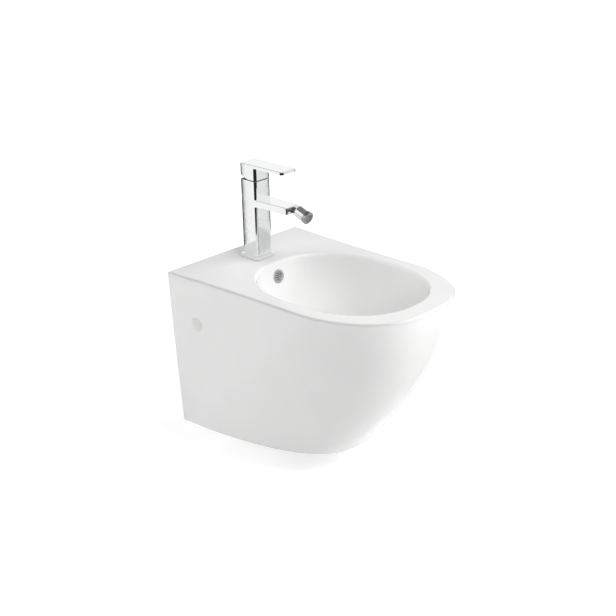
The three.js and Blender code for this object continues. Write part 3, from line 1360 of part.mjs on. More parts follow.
// Click sleeve: a cup that hangs on the cross bars and guides the plug's stem
function clickSleeve() {
  const flangeLow = SEAT_GAP - WASTE_BAR_TOP;
  return turned([
    [0, -SLEEVE_BOTTOM],
    [SLEEVE_RADIUS, -SLEEVE_BOTTOM],
    [SLEEVE_RADIUS, flangeLow],
    [SLEEVE_RADIUS + SLEEVE_FLANGE, flangeLow],
    [SLEEVE_RADIUS + SLEEVE_FLANGE, flangeLow + SLEEVE_FLANGE_THICKNESS],
    [SLEEVE_RADIUS, flangeLow + SLEEVE_FLANGE_THICKNESS],
    [SLEEVE_RADIUS, -SLEEVE_TOP],
    [SLEEVE_BORE_RADIUS, -SLEEVE_TOP],
    [SLEEVE_BORE_RADIUS, SLEEVE_FLOOR - SLEEVE_BOTTOM],
    [0, SLEEVE_FLOOR - SLEEVE_BOTTOM],
  ], SMALL_FACETS);
}

function plugSpring() {
  const low = SLEEVE_FLOOR - SLEEVE_BOTTOM + SEAT_GAP;
  const high = PLUG_STEM_BOTTOM - SEAT_GAP;
  return ring(PLUG_STEM_RADIUS, PLUG_STEM_RADIUS - SPRING_WALL, low, high, TINY_FACETS);
}

const neckBore = WASTE_RADIUS + SEAT_GAP;
const bottleBore = TRAP_BODY_RADIUS - TRAP_WALL;

function trapInletNut() {
  const outside = rod(TRAP_NUT_RADIUS, -TRAP_NUT_BOTTOM, -TRAP_NUT_TOP, TRAP_NUT_SIDES);
  const lipBore = rod(neckBore, -TRAP_NUT_BOTTOM, CUT_OVERRUN - TRAP_NUT_TOP, FINE_FACETS);
  const thread = rod(
    TRAP_NECK_RADIUS + SEAT_GAP,
    -TRAP_NUT_BOTTOM - CUT_OVERRUN,
    -TRAP_NUT_TOP - TRAP_NUT_LIP,
    FINE_FACETS,
  );
  return cut(outside, lipBore, thread);
}

function trapInletSeal() {
  const high = -TRAP_NUT_TOP - TRAP_NUT_LIP - SEAT_GAP;
  return ring(TRAP_NECK_RADIUS, neckBore, SEAT_GAP - TRAP_NECK_TOP, high, FINE_FACETS);
}

// Trap body: a neck for the waste, a bottle open below and a threaded outlet boss to the rear
function trapBody() {
  const dipBore = DIP_TUBE_RADIUS + SEAT_GAP;
  const bottle = turned([
    [dipBore, -TRAP_SHOULDER],
    [bottleBore, -TRAP_SHOULDER - TRAP_WALL],
    [bottleBore, -TRAP_BODY_BOTTOM],
    [TRAP_BODY_RADIUS, -TRAP_BODY_BOTTOM],
    [TRAP_BODY_RADIUS, -TRAP_SHOULDER],
    [TRAP_NECK_RADIUS, -TRAP_SHOULDER + TRAP_WALL],
    [TRAP_NECK_RADIUS, -TRAP_NECK_TOP],
    [neckBore, -TRAP_NECK_TOP],
    [neckBore, -TRAP_LEDGE],
    [dipBore, -TRAP_LEDGE],
    [dipBore, -TRAP_SHOULDER],
  ], FINE_FACETS);
  const boss = towardsWall(rod(OUTLET_BOSS_RADIUS, bottleBore, OUTLET_BOSS_END, ROUND_FACETS));
  const bossBore = towardsWall(rod(
    OUTLET_TUBE_RADIUS + SEAT_GAP,
    DIP_TUBE_RADIUS + TRAP_WALL,
    OUTLET_BOSS_END + CUT_OVERRUN,
    ROUND_FACETS,
  ));
  return cut(join(bottle, boss), bossBore);
}

// Turns an upright piece to point to the wall at the trap outlet's height
function towardsWall(geometry) {
  const placed = geometry.clone();
  placed.rotateX(-QUARTER_TURN);
  placed.translate(0, 0, -OUTLET_DROP);
  return placed;
}

function dipTube() {
  const bore = DIP_TUBE_RADIUS - DIP_TUBE_WALL;
  const flangeLow = SEAT_GAP - TRAP_LEDGE;
  return turned([
    [bore, -DIP_TUBE_BOTTOM],
    [DIP_TUBE_RADIUS, -DIP_TUBE_BOTTOM],
    [DIP_TUBE_RADIUS, flangeLow],
    [neckBore - SEAT_GAP, flangeLow],
    [neckBore - SEAT_GAP, flangeLow + DIP_FLANGE_THICKNESS],
    [bore, flangeLow + DIP_FLANGE_THICKNESS],
    [bore, -DIP_TUBE_BOTTOM],
  ], ROUND_FACETS);
}

const cupBore = TRAP_BODY_RADIUS + SEAT_GAP;
const cupLedge = -TRAP_BODY_BOTTOM - CUP_SEAL_THICKNESS - 2 * SEAT_GAP;

function trapCup() {
  const outer = cupBore + TRAP_WALL;
  return turned([
    [0, -CUP_BOTTOM],
    [bottleBore, -CUP_BOTTOM],
    [TRAP_BODY_RADIUS, CUP_FLOOR - CUP_BOTTOM],
    [TRAP_BODY_RADIUS, cupLedge - TRAP_WALL],
    [outer, cupLedge],
    [outer, -CUP_TOP],
    [cupBore, -CUP_TOP],
    [cupBore, cupLedge],
    [bottleBore, cupLedge],
    [bottleBore, CUP_FLOOR - CUP_BOTTOM],
    [0, CUP_FLOOR - CUP_BOTTOM],
  ], FINE_FACETS);
}

function cupSeal() {
  const low = cupLedge + SEAT_GAP;
  return ring(TRAP_BODY_RADIUS, bottleBore, low, low + CUP_SEAL_THICKNESS, ROUND_FACETS);
}

const tubeBore = OUTLET_TUBE_RADIUS + SEAT_GAP;
const outletNutStart = OUTLET_BOSS_END - OUTLET_NUT_OVERLAP;
const outletNutEnd = outletNutStart + OUTLET_NUT_LENGTH;

function outletNut() {
  const outside = rod(OUTLET_NUT_RADIUS, outletNutStart, outletNutEnd, TRAP_NUT_SIDES);
  const lipBore = rod(tubeBore, outletNutStart, outletNutEnd + CUT_OVERRUN, ROUND_FACETS);
  const thread = rod(
    OUTLET_BOSS_RADIUS + SEAT_GAP,
    outletNutStart - CUT_OVERRUN,
    OUTLET_BOSS_END + OUTLET_SEAL_LENGTH + 2 * SEAT_GAP,
    ROUND_FACETS,
  );
  return towardsWall(cut(outside, lipBore, thread));
}

function outletSeal() {
  const start = OUTLET_BOSS_END + SEAT_GAP;
  return towardsWall(ring(OUTLET_BOSS_RADIUS, tubeBore, start, start + OUTLET_SEAL_LENGTH, ROUND_FACETS));
}

// Outlet tube, from inside the trap's boss to the wall plane
function outletTube() {
  const bore = OUTLET_TUBE_RADIUS - OUTLET_TUBE_WALL;
  const end = DRAIN_SETBACK - SEAT_GAP;
  return towardsWall(ring(OUTLET_TUBE_RADIUS, bore, OUTLET_TUBE_START, end, ROUND_FACETS));
}

const overflowTube = OVERFLOW_HOLE_RADIUS - OVERFLOW_SLEEVE_WALL - 2 * SEAT_GAP;
const overflowBore = overflowTube - OVERFLOW_TUBE_WALL;

// Overflow ring: a rounded collar on the bowl's wall and a short tube in the hole
function overflowRing() {
  return turned([
    [overflowBore, -OVERFLOW_TUBE_LENGTH],
    [overflowTube, -OVERFLOW_TUBE_LENGTH],
    [overflowTube, SEAT_GAP],
    [OVERFLOW_RING_RADIUS, SEAT_GAP],
    [OVERFLOW_RING_RADIUS, OVERFLOW_RING_THICKNESS / 2],
    ...OVERFLOW_CROWN_SHARES.map((share) => [
      mix(OVERFLOW_RING_RADIUS, overflowBore, share),
      OVERFLOW_RING_THICKNESS,
    ]),
    [overflowBore, OVERFLOW_RING_THICKNESS / 2],
    [overflowBore, -OVERFLOW_TUBE_LENGTH],
  ], ROUND_FACETS);
}

// Grille: a thin disc with level slots
function overflowGrille() {
  const radius = overflowBore - SEAT_GAP;
  const low = -GRILLE_SINK - GRILLE_THICKNESS;
  const lastMiddle = radius - GRILLE_RIM - GRILLE_SLOT_TO_RIM - GRILLE_SLOT / 2;
  const slots = [];
  for (let i = 0; i < GRILLE_SLOTS; i += 1) {
    const middle = mix(-lastMiddle, lastMiddle, i / (GRILLE_SLOTS - 1));
    const half = Math.sqrt((radius - GRILLE_RIM) ** 2 - (Math.abs(middle) + GRILLE_SLOT / 2) ** 2);
    slots.push(block(
      [-half, half],
      [middle - GRILLE_SLOT / 2, middle + GRILLE_SLOT / 2],
      [low - CUT_OVERRUN, CUT_OVERRUN],
    ));
  }
  return cut(rod(radius, low, -GRILLE_SINK, ROUND_FACETS), ...slots);
}

function overflowSleeve() {
  const outer = OVERFLOW_HOLE_RADIUS - SEAT_GAP;
  const low = -OVERFLOW_SLEEVE_LENGTH;
  return ring(outer, outer - OVERFLOW_SLEEVE_WALL, low, -SEAT_GAP, ROUND_FACETS);
}

// Adds one named piece to a group
function add(group, name, geometry, material) {
  const mesh = new THREE.Mesh(weld(geometry), material);
  mesh.geometry.computeVertexNormals();
  mesh.name = name;
  group.add(mesh);
}

const bidet = new THREE.Group();
add(bidet, 'ceramic_body', ceramicBody(), glaze);

// Adds a piece of the right side and its mirror image on the left
function addPair(name, geometry, material) {
  add(bidet, `${name}_left`, mirrored(geometry), material);
  add(bidet, `${name}_right`, geometry, material);
}

addPair('wall_bracket', wallBracket(), zincSteel);
addPair('wall_stud', wallStud(), zincSteel);
addPair('wall_washer', wallWasher(), zincSteel);
addPair('wall_nut', wallNut(), zincSteel);
addPair('side_screw', sideScrew(), zincSteel);
addPair('side_bush', sideBush(), greyPlastic);
addPair('side_cap', sideCap(), whitePlastic);

const tap = new THREE.Group();
tap.position.set(0, -TAP_SETBACK, RIM_Z);
bidet.add(tap);
add(tap, 'tap_base_gasket', tapGasket(), rubber);
add(tap, 'tap_base_plate', tapPlate(), chrome);
add(tap, 'tap_body', tapBody(), chrome);
add(tap, 'tap_rubber_horseshoe', horseshoe(rubberTop, RUBBER_THICKNESS), rubber);
add(tap, 'tap_steel_horseshoe', horseshoe(steelTop, STEEL_THICKNESS), zincSteel);
add(tap, 'tap_fixing_stud', fixingStud(), brass);
add(tap, 'tap_fixing_nut', fixingNut(), brass);
add(tap, 'cartridge_seal', cartridgeSeal(), rubber);
add(tap, 'cartridge_housing', cartridgeHousing(), greyPlastic);
add(tap, 'cartridge_fixed_disc', fixedDisc(), discCeramic);
add(tap, 'cartridge_moving_disc', movingDisc(), discCeramic);
add(tap, 'cartridge_turner', turner(), whitePlastic);
add(tap, 'cartridge_stem', stem(), brass);
add(tap, 'cartridge_nut', cartridgeNut(), brass);
add(tap, 'tap_handle', handle(), chrome);
add(tap, 'handle_grub_screw', grubScrew(), zincSteel);
add(tap, 'handle_screw_cover', grubCap(), greyPlastic);

const neck = new THREE.Group();
neck.position.set(0, -SPOUT_TIP - BALL_OFFSET, SPOUT_MIDDLE);
neck.rotation.x = QUARTER_TURN;
tap.add(neck);
add(neck, 'spout_ball_joint', ballJoint(), chrome);

const nozzle = new THREE.Group();
nozzle.rotation.x = radians(NOZZLE_TILT);
neck.add(nozzle);
add(nozzle, 'nozzle_seat_ring', nozzleSeatRing(), whitePlastic);
add(nozzle, 'nozzle_housing', nozzleHousing(), chrome);
add(nozzle, 'nozzle_washer', nozzleWasher(), rubber);
add(nozzle, 'nozzle_aerator', aerator(), greyPlastic);
add(nozzle, 'nozzle_collar', nozzleCollar(), chrome);

const waste = new THREE.Group();
waste.position.set(0, -DRAIN_SETBACK, FLOOR_Z);
bidet.add(waste);
add(waste, 'waste_body', wasteBodyWithBars(), chrome);
add(waste, 'waste_flange_seal', flangeSeal(), rubber);
add(waste, 'waste_lower_washer', lowerWasher(), rubber);
add(waste, 'waste_backnut', backnut(), brass);
add(waste, 'plug_cap', plugCap(), chrome);
add(waste, 'plug_seal', plugSeal(), rubber);
add(waste, 'plug_stem', plugStem(), brass);
add(waste, 'plug_click_sleeve', clickSleeve(), brass);
add(waste, 'plug_spring', plugSpring(), zincSteel);
add(waste, 'trap_inlet_nut', trapInletNut(), whitePlastic);
add(waste, 'trap_inlet_seal', trapInletSeal(), rubber);
add(waste, 'trap_body', trapBody(), whitePlastic);
add(waste, 'trap_dip_tube', dipTube(), whitePlastic);
add(waste, 'trap_cup', trapCup(), whitePlastic);
add(waste, 'trap_cup_seal', cupSeal(), rubber);
add(waste, 'trap_outlet_nut', outletNut(), whitePlastic);
add(waste, 'trap_outlet_seal', outletSeal(), rubber);
add(waste, 'trap_outlet_tube', outletTube(), whitePlastic);

const overflow = new THREE.Group();
overflow.position.copy(overflowPlace);
overflow.rotation.x = overflowTurn;
bidet.add(overflow);
add(overflow, 'overflow_ring', overflowRing(), chrome);
add(overflow, 'overflow_grille', overflowGrille(), darkPlastic);
add(overflow, 'overflow_sleeve', overflowSleeve(), greyPlastic);

export default bidet;
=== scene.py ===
# %% [markdown]
# A wall hung bidet: a glazed ceramic bowl that hangs on two wall studs, with a lever tap on its deck,
# an overflow in the bowl's rear wall and a bottle trap underneath.
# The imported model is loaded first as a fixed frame. Every piece made below takes the place of one
# of its nodes, or dresses it with a finish, and rides on the same moving body.

# %% Load the frame
import json
import math

import bmesh
import bpy
from mathutils import Matrix, Vector

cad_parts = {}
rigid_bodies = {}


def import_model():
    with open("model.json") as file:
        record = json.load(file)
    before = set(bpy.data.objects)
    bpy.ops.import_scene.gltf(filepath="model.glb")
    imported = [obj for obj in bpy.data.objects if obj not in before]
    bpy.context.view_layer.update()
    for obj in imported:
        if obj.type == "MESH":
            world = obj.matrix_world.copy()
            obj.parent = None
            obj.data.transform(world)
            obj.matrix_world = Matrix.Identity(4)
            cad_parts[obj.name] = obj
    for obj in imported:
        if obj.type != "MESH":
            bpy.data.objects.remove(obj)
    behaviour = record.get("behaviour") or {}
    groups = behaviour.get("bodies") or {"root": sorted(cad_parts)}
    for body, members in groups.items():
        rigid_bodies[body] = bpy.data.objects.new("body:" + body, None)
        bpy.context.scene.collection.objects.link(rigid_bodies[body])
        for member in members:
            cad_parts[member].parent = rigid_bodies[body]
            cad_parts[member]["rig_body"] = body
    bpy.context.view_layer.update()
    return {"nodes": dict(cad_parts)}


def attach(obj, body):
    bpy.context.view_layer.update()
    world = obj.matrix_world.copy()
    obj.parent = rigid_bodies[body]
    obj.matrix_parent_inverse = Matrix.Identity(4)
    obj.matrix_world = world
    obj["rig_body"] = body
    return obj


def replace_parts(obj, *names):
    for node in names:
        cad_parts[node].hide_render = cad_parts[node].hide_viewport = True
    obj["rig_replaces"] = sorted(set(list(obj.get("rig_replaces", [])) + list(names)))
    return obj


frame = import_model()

MM = 0.001
print("nodes in the frame:", len(frame["nodes"]))

# %% [markdown]
# The photograph looks down on the bidet from its left front. The camera is placed by its spot in the
# room and three directions, worked out from corners of the ceramic whose real places are known.
# A long lens keeps the upright edges nearly parallel, as they are in the photograph.

# %% Camera
CAMERA_PLACE = Vector((-1.56140, -1.72038, 0.92526))
CAMERA_RIGHT = Vector((0.6966, -0.7175, 0.0))
CAMERA_UP = Vector((0.2760, 0.2680, 0.9231))
CAMERA_ROLL = math.radians(-1.351)
CAMERA_LENS = 70.13


def set_camera():
    right = CAMERA_RIGHT.normalized()
    back = right.cross(CAMERA_UP).normalized()
    up = back.cross(right)
    turn = Matrix((right, up, back)).transposed().to_4x4()
    data = bpy.data.cameras.new("photo_camera")
    data.lens = CAMERA_LENS
    data.clip_start = 0.01
    camera = bpy.data.objects.new("photo_camera", data)
    camera.matrix_world = Matrix.Translation(CAMERA_PLACE) @ turn @ Matrix.Rotation(CAMERA_ROLL, 4, "Z")
    bpy.context.scene.collection.objects.link(camera)
    bpy.context.scene.camera = camera
    return camera


photo_camera = set_camera()
print("camera looks along", [round(value, 3) for value in -photo_camera.matrix_world.col[2].xyz])

# %% [markdown]
# Operators act on whatever is selected, so each piece is first made the only selected one.
# Faces, edges and corners are then picked by a rule on their place or direction, which does in code
# what a box select does by hand.

# %% Picking and editing
def alone(piece):
    bpy.ops.object.select_all(action="DESELECT")
    piece.select_set(True)
    bpy.context.view_layer.objects.active = piece
    return piece


def pick(piece, kind, rule):
    """Opens the piece for editing with only the corners, edges or faces that meet the rule selected."""
    alone(piece)
    bpy.ops.object.mode_set(mode="EDIT")
    bpy.ops.mesh.select_mode(type=kind)
    bpy.ops.mesh.select_all(action="DESELECT")
    mesh = bmesh.from_edit_mesh(piece.data)
    parts = {"VERT": mesh.verts, "EDGE": mesh.edges, "FACE": mesh.faces}[kind]
    count = 0
    for part in parts:
        if rule(part):
            part.select_set(True)
            count += 1
    mesh.select_flush_mode()
    bmesh.update_edit_mesh(piece.data)
    return count


def close_edit():
    bpy.ops.object.mode_set(mode="OBJECT")


def everything(part):
    return True


def settle(piece, gap=0.002):
    """Merges corners that lie on each other, drops loose edges and turns all faces outwards."""
    pick(piece, "VERT", everything)
    bpy.ops.mesh.remove_doubles(threshold=gap * MM)
    bpy.ops.mesh.delete_loose()
    bpy.ops.mesh.select_all(action="SELECT")
    bpy.ops.mesh.normals_make_consistent(inside=False)
    close_edit()
    return piece


def place(piece, turn=(0, 0, 0), shift=(0, 0, 0)):
    """Turns a piece by degrees about the axes, moves it, and keeps both in its mesh."""
    alone(piece)
    piece.rotation_euler = [math.radians(angle) for angle in turn]
    piece.location = shift
    bpy.ops.object.transform_apply(location=True, rotation=True, scale=True)
    return piece


# %% [markdown]
# Most pieces start as a cube or a cylinder primitive. Cast and machined parts have no knife-sharp
# edges, so chosen edges are bevelled with the width of the real rounding.

# %% Primitives, bevels and cutting
def cube(name, x, y, z):
    """A cube primitive stretched between limits in millimetres."""
    low = Vector((x[0], y[0], z[0])) * MM
    high = Vector((x[1], y[1], z[1])) * MM
    bpy.ops.mesh.primitive_cube_add(size=1, location=(low + high) / 2)
    piece = bpy.context.active_object
    piece.name = name
    piece.scale = high - low
    bpy.ops.object.transform_apply(location=True, rotation=True, scale=True)
    return piece


def cylinder(name, radius, low, high, sides=64):
    """An upright cylinder primitive between two levels in millimetres."""
    bpy.ops.mesh.primitive_cylinder_add(
        vertices=sides, radius=radius * MM, depth=(high - low) * MM, location=(0, 0, (low + high) / 2 * MM))
    piece = bpy.context.active_object
    piece.name = name
    bpy.ops.object.transform_apply(location=True, rotation=True, scale=True)
    return piece


def edge_run(edge):
    return (edge.verts[1].co - edge.verts[0].co).normalized()


def edge_middle(edge):
    return (edge.verts[0].co + edge.verts[1].co) / 2


def upright(edge):
    return abs(edge_run(edge).z) > 0.99


def round_edges(piece, rule, width, segments):
    count = pick(piece, "EDGE", rule)
    bpy.ops.mesh.bevel(offset=width * MM, offset_type="OFFSET", segments=segments, affect="EDGES")
    close_edit()
    return count


def combine(piece, other, kind):
    """Changes a closed piece by another one, which is removed."""
    alone(piece)
    change = piece.modifiers.new(kind.lower(), "BOOLEAN")
    change.operation = kind
    change.solver = "MANIFOLD"
    change.object = other
    bpy.ops.object.modifier_apply(modifier=change.name)
    bpy.data.objects.remove(other)
    return piece


def join(piece, *others):
    for other in others:
        combine(piece, other, "UNION")
    return piece


def cut(piece, *others):
    for other in others:
        combine(piece, other, "DIFFERENCE")
    return piece


def even_shade(piece, angle):
    """Smooth shading up to an angle, weighted by face size, so that flat faces stay flat."""
    alone(piece)
    bpy.ops.object.shade_smooth_by_angle(angle=math.radians(angle))
    weights = piece.modifiers.new("weights", "WEIGHTED_NORMAL")
    weights.keep_sharp = True
    bpy.ops.object.modifier_apply(modifier=weights.name)


def mirror(piece):
    """Mirrors a piece to the other side of the bidet, with its faces still outwards."""
    alone(piece)
    piece.scale.x = -1
    bpy.ops.object.transform_apply(location=False, rotation=False, scale=True)
    return settle(piece)


def mirrored_copy(piece, name):
    copy = piece.copy()
    copy.data = piece.data.copy()
    copy.name = name
    bpy.context.scene.collection.objects.link(copy)
    return mirror(copy)


# %% [markdown]
# Turned parts, such as rings, flanges and the nozzle, come off a lathe. Their half section is drawn by
# extruding one corner from point to point, and spun round the axis. Corners of the section are
# softened with small arcs before the spin, because a polished edge catches a line of light.

# %% Turning
ARC_STEPS = 4


def soften(corners):
    """Points of a closed section whose [radius, height, rounding] corners are rounded by arcs."""
    points = []
    count = len(corners)
    for i, (radius, height, rounding) in enumerate(corners):
        here = Vector((radius, height))
        if rounding == 0:
            points.append(here)
            continue
        before = Vector(corners[i - 1][:2]) - here
        after = Vector(corners[(i + 1) % count][:2]) - here
        half = before.angle(after) / 2
        reach = rounding / math.tan(half)
        back, ahead = before.normalized(), after.normalized()
        centre = here + (back + ahead).normalized() * (rounding / math.sin(half))
        start = here + back * reach - centre
        end = here + ahead * reach - centre
        sweep = start.angle_signed(end)
        for step in range(ARC_STEPS + 1):
            points.append(centre + Matrix.Rotation(-sweep * step / ARC_STEPS, 2) @ start)
    return points


def draw_line(name, points):
    """A line of edges through upright points in millimetres, drawn by extruding its last corner."""
    spots = [Vector((across, 0, height)) * MM for across, height in points]
    bpy.ops.mesh.primitive_plane_add(size=MM)
    piece = bpy.context.active_object
    piece.name = name
    bpy.ops.object.mode_set(mode="EDIT")
    bpy.ops.mesh.select_mode(type="VERT")
    bpy.ops.mesh.select_all(action="SELECT")
    bpy.ops.mesh.merge(type="CENTER")
    bpy.ops.transform.translate(value=spots[0])
    for before, after in zip(spots, spots[1:]):
        bpy.ops.mesh.extrude_region_move(TRANSFORM_OT_translate={"value": after - before})
    return piece


def turn_piece(name, section, sides=96):
    """A closed section of [radius, height, rounding] corners, spun into a solid ring or disc."""
    points = soften(section)
    piece = draw_line(name, points + points[:1])
    bpy.ops.mesh.select_all(action="SELECT")
    bpy.ops.mesh.spin(steps=sides, angle=2 * math.pi, center=(0, 0, 0), axis=(0, 0, 1))
    close_edit()
    return settle(piece)


# %% [markdown]
# A finish is a shader, not a picture. Each one gets the small unevenness that the real surface has,
# because a perfectly even surface looks like a drawing. The noise reads the piece's own coordinates,
# so that it stays on the piece when a lever or nozzle moves.

# %% Finish helpers
PATTERN_LOW, PATTERN_HIGH = 0.3, 0.7


def add_node(tree, kind, operation=None, **values):
    """Adds a shader node and sets the inputs that are named, with _ for a space."""
    node = tree.nodes.new("ShaderNode" + kind)
    if operation:
        node.operation = operation
    for socket, value in values.items():
        node.inputs[socket.replace("_", " ")].default_value = value
    return node


def add_noise(finish, scale, detail):
    """A noise pattern on the piece's own coordinates; gives back its output."""
    tree = finish.node_tree
    spot = add_node(tree, "TexCoord")
    noise = add_node(tree, "TexNoise", Scale=scale, Detail=detail)
    tree.links.new(spot.outputs["Object"], noise.inputs["Vector"])
    return noise.outputs["Fac"]


def feed(finish, output, socket):
    tree = finish.node_tree
    tree.links.new(output, tree.nodes["Principled BSDF"].inputs[socket])


def tint(finish, scale, detail, light, dark):
    """Lets a noise mix two close colours."""
    ramp = add_node(finish.node_tree, "ValToRGB")
    stops = zip(ramp.color_ramp.elements, (PATTERN_LOW, PATTERN_HIGH), (dark, light))
    for stop, position, color in stops:
        stop.position = position
        stop.color = (*color, 1)
    finish.node_tree.links.new(add_noise(finish, scale, detail), ramp.inputs["Fac"])
    feed(finish, ramp.outputs["Color"], "Base Color")


def vary(finish, scale, detail, low, high):
    """Lets a noise move the roughness between two limits."""
    spread = add_node(finish.node_tree, "MapRange", From_Min=PATTERN_LOW, From_Max=PATTERN_HIGH,
                      To_Min=low, To_Max=high)
    finish.node_tree.links.new(add_noise(finish, scale, detail), spread.inputs["Value"])
    feed(finish, spread.outputs["Result"], "Roughness")


def roughen(finish, scale, detail, depth, strength):
    """Raises the surface by a noise, to a depth in millimetres."""
    bump = add_node(finish.node_tree, "Bump", Distance=depth * MM, Strength=strength)
    finish.node_tree.links.new(add_noise(finish, scale, detail), bump.inputs["Height"])
    feed(finish, bump.outputs["Normal"], "Normal")


def make_finish(name, color, metallic, roughness, colors=None, gloss=None, grain=None, **more):
    """A finish. Its colours, gloss and grain each take a noise's scale and detail and two limits."""
    finish = bpy.data.materials.new(name)
    finish.use_nodes = True
    values = {"Base Color": (*color, 1), "Metallic": metallic, "Roughness": roughness, **more}
    for socket, value in values.items():
        finish.node_tree.nodes["Principled BSDF"].inputs[socket].default_value = value
    finish.diffuse_color = (*color, 1)
    finish.metallic, finish.roughness = metallic, roughness
    for pattern, settings in ((tint, colors), (vary, gloss), (roughen, grain)):
        if settings:
            pattern(finish, *settings)
    return finish


# %% [markdown]
# The glaze is a layer of clear glass fused on white clay. It is very smooth and reflects the room, but
# it ran a little while it melted, so its reflections waver slightly.
# The noise is kept very low and broad: a few hundredths of a millimetre over several centimetres. Along
# the rim's outer edge an attribute marks where painted shade darkens the colour into a dark line.

# %% Ceramic glaze
# The tone below is painted shade: it darkens the glaze along the rim's outer edge into a dark line.
PAINTED_EDGE_SHADE, EDGE_SHADE_TONE = "painted_edge_shade", 0.78


def shade_by_mark(finish, mark_name, shade):
    """Paints shade: darkens the colour where the piece's own attribute says so."""
    tree = finish.node_tree
    mark = add_node(tree, "Attribute")
    mark.attribute_name = mark_name
    mix = add_node(tree, "MixRGB", Color2=(shade, shade, shade, 1))
    mix.blend_type = "MULTIPLY"
    color = tree.nodes["Principled BSDF"].inputs["Base Color"].links[0].from_socket
    tree.links.new(mark.outputs["Fac"], mix.inputs["Fac"])
    tree.links.new(color, mix.inputs["Color1"])
    feed(finish, mix.outputs["Color"], "Base Color")


glaze = make_finish("white_glaze", (0.86, 0.86, 0.855), 0, 0.07,
                    colors=(14, 2, (0.868, 0.868, 0.862), (0.852, 0.853, 0.85)),
                    gloss=(30, 2, 0.05, 0.09), grain=(22, 1, 0.12, 0.35), IOR=1.6)
shade_by_mark(glaze, PAINTED_EDGE_SHADE, EDGE_SHADE_TONE)

# %% [markdown]
# Chrome plate is a mirror with a cold tint. Polishing and limescale leave its gloss uneven, so only the
# roughness varies, by a little.

# %% Metals
chrome = make_finish("chrome_plate", (0.90, 0.905, 0.91), 1, 0.05,
                     gloss=(160, 4, 0.035, 0.07), grain=(60, 1, 0.02, 0.25))
# A dark metal used as painted shade: it darkens the chrome ball joint to stand for its shade and dark
# reflections, and the cartridge nut to stand for the shadow in the gap under the handle.
painted_dark_metal = make_finish("dark_nickel_plate", (0.20, 0.20, 0.205), 1, 0.12, gloss=(200, 4, 0.08, 0.16))
satin_nickel = make_finish("satin_nickel_plate", (0.46, 0.465, 0.47), 1, 0.16, gloss=(240, 4, 0.12, 0.2))
zinc = make_finish("zinc_plated_steel", (0.62, 0.63, 0.64), 1, 0.38,
                   colors=(240, 3, (0.68, 0.69, 0.70), (0.52, 0.53, 0.55)),
                   gloss=(420, 4, 0.28, 0.48), grain=(900, 3, 0.02, 0.4))
brass = make_finish("raw_brass", (0.66, 0.49, 0.21), 1, 0.32,
                    colors=(120, 4, (0.70, 0.53, 0.24), (0.55, 0.38, 0.15)),
                    gloss=(300, 3, 0.24, 0.42), grain=(700, 2, 0.02, 0.3))

# %% [markdown]
# The plastics and rubber differ mostly in colour and in how far they scatter a highlight. Moulded
# plastic has a fine grain from its mould, and rubber is dull and a little dusty.

# %% Plastics, rubber and disc ceramic
white_plastic = make_finish("white_plastic", (0.80, 0.80, 0.79), 0, 0.34,
                            colors=(40, 3, (0.815, 0.815, 0.81), (0.78, 0.78, 0.765)),
                            gloss=(500, 3, 0.28, 0.40), grain=(1400, 2, 0.015, 0.35))
dark_plastic = make_finish("dark_plastic", (0.025, 0.026, 0.028), 0, 0.45,
                           colors=(300, 3, (0.035, 0.036, 0.038), (0.018, 0.018, 0.02)),
                           gloss=(600, 3, 0.38, 0.55), grain=(1500, 2, 0.02, 0.4))
grey_plastic = make_finish("grey_plastic", (0.26, 0.27, 0.28), 0, 0.42,
                           colors=(200, 3, (0.29, 0.30, 0.31), (0.22, 0.23, 0.24)),
                           gloss=(600, 3, 0.36, 0.5), grain=(1500, 2, 0.02, 0.4))
rubber = make_finish("black_rubber", (0.02, 0.02, 0.021), 0, 0.78,
                     colors=(350, 4, (0.035, 0.035, 0.036), (0.014, 0.014, 0.015)),
                     gloss=(500, 3, 0.7, 0.88), grain=(1100, 4, 0.05, 0.5))
disc_ceramic = make_finish("disc_ceramic", (0.78, 0.75, 0.69), 0, 0.22,
                           colors=(500, 4, (0.82, 0.79, 0.73), (0.72, 0.69, 0.63)),
                           gloss=(500, 3, 0.18, 0.3))
FINISHES = {
    "glaze": glaze, "chrome": chrome, "zinc_steel": zinc, "brass": brass, "rubber": rubber,
    "white_plastic": white_plastic, "dark_plastic": dark_plastic, "grey_plastic": grey_plastic,
    "disc_ceramic": disc_ceramic,
}
print("finishes:", ", ".join(FINISHES))


# %% [markdown]
# Each finished piece is handed over in the same way: it takes its finish, rides on the body that moves
# it, and hides the plain node that it stands for.

# %% Hand over a piece
def hand_over(piece, node, slot_name, angle=32, finish=None, stands_for=True):
    """Finishes a piece; one that stands for no plain node only rides with the node's body."""
    even_shade(piece, angle)
    piece.data.materials.clear()
    piece.data.materials.append(finish or FINISHES[slot_name])
    body = frame["nodes"][node]["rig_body"]
    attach(piece, body)
    if stands_for:
        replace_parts(piece, node)
    print(f"{piece.name}: {len(piece.data.polygons)} faces on {body}")
    return piece


# %% [markdown]
# The ceramic body is cast in a plaster mould as one smooth skin. Seen from above its sides run out from
# the wall and turn into a broad nose, and the plan shrinks towards the foot, fastest near the floor.
# By hand it could be shaped from a cube with subdivision, but then its outline would only be near the
# real one. Here a fine grid is wrapped round the plan like a sheet of clay: up the side, over the rim,
# across the deck and down into the bowl. So the glaze reflects without kinks.

# %% Sizes of the ceramic, in millimetres
RIM_LEVEL, FOOT_LEVEL = 96, -239
RIM_WALL_HALF, RIM_TURN_HALF, RIM_TURN_DEPTH, RIM_DEPTH = 180, 167, 343, 510
FOOT_WALL_HALF, FOOT_TURN_HALF, FOOT_TURN_DEPTH, FOOT_DEPTH = 163.5, 161.5, 10, 339
RIM_NOSE_POWER, FOOT_NOSE_POWER, NOSE_DEPTH_POWER = 3.02, 2.83, 1.6
FLARE_POWER, PROW_POWER = 1.27, 1.78
RIM_ROUND, FOOT_ROUND, BOWL_ROUND = 4, 8, 6
REAR_COLUMNS, SIDE_COLUMNS, NOSE_COLUMNS = 28, 26, 64


def between(low, high, share):
    return low + (high - low) * share


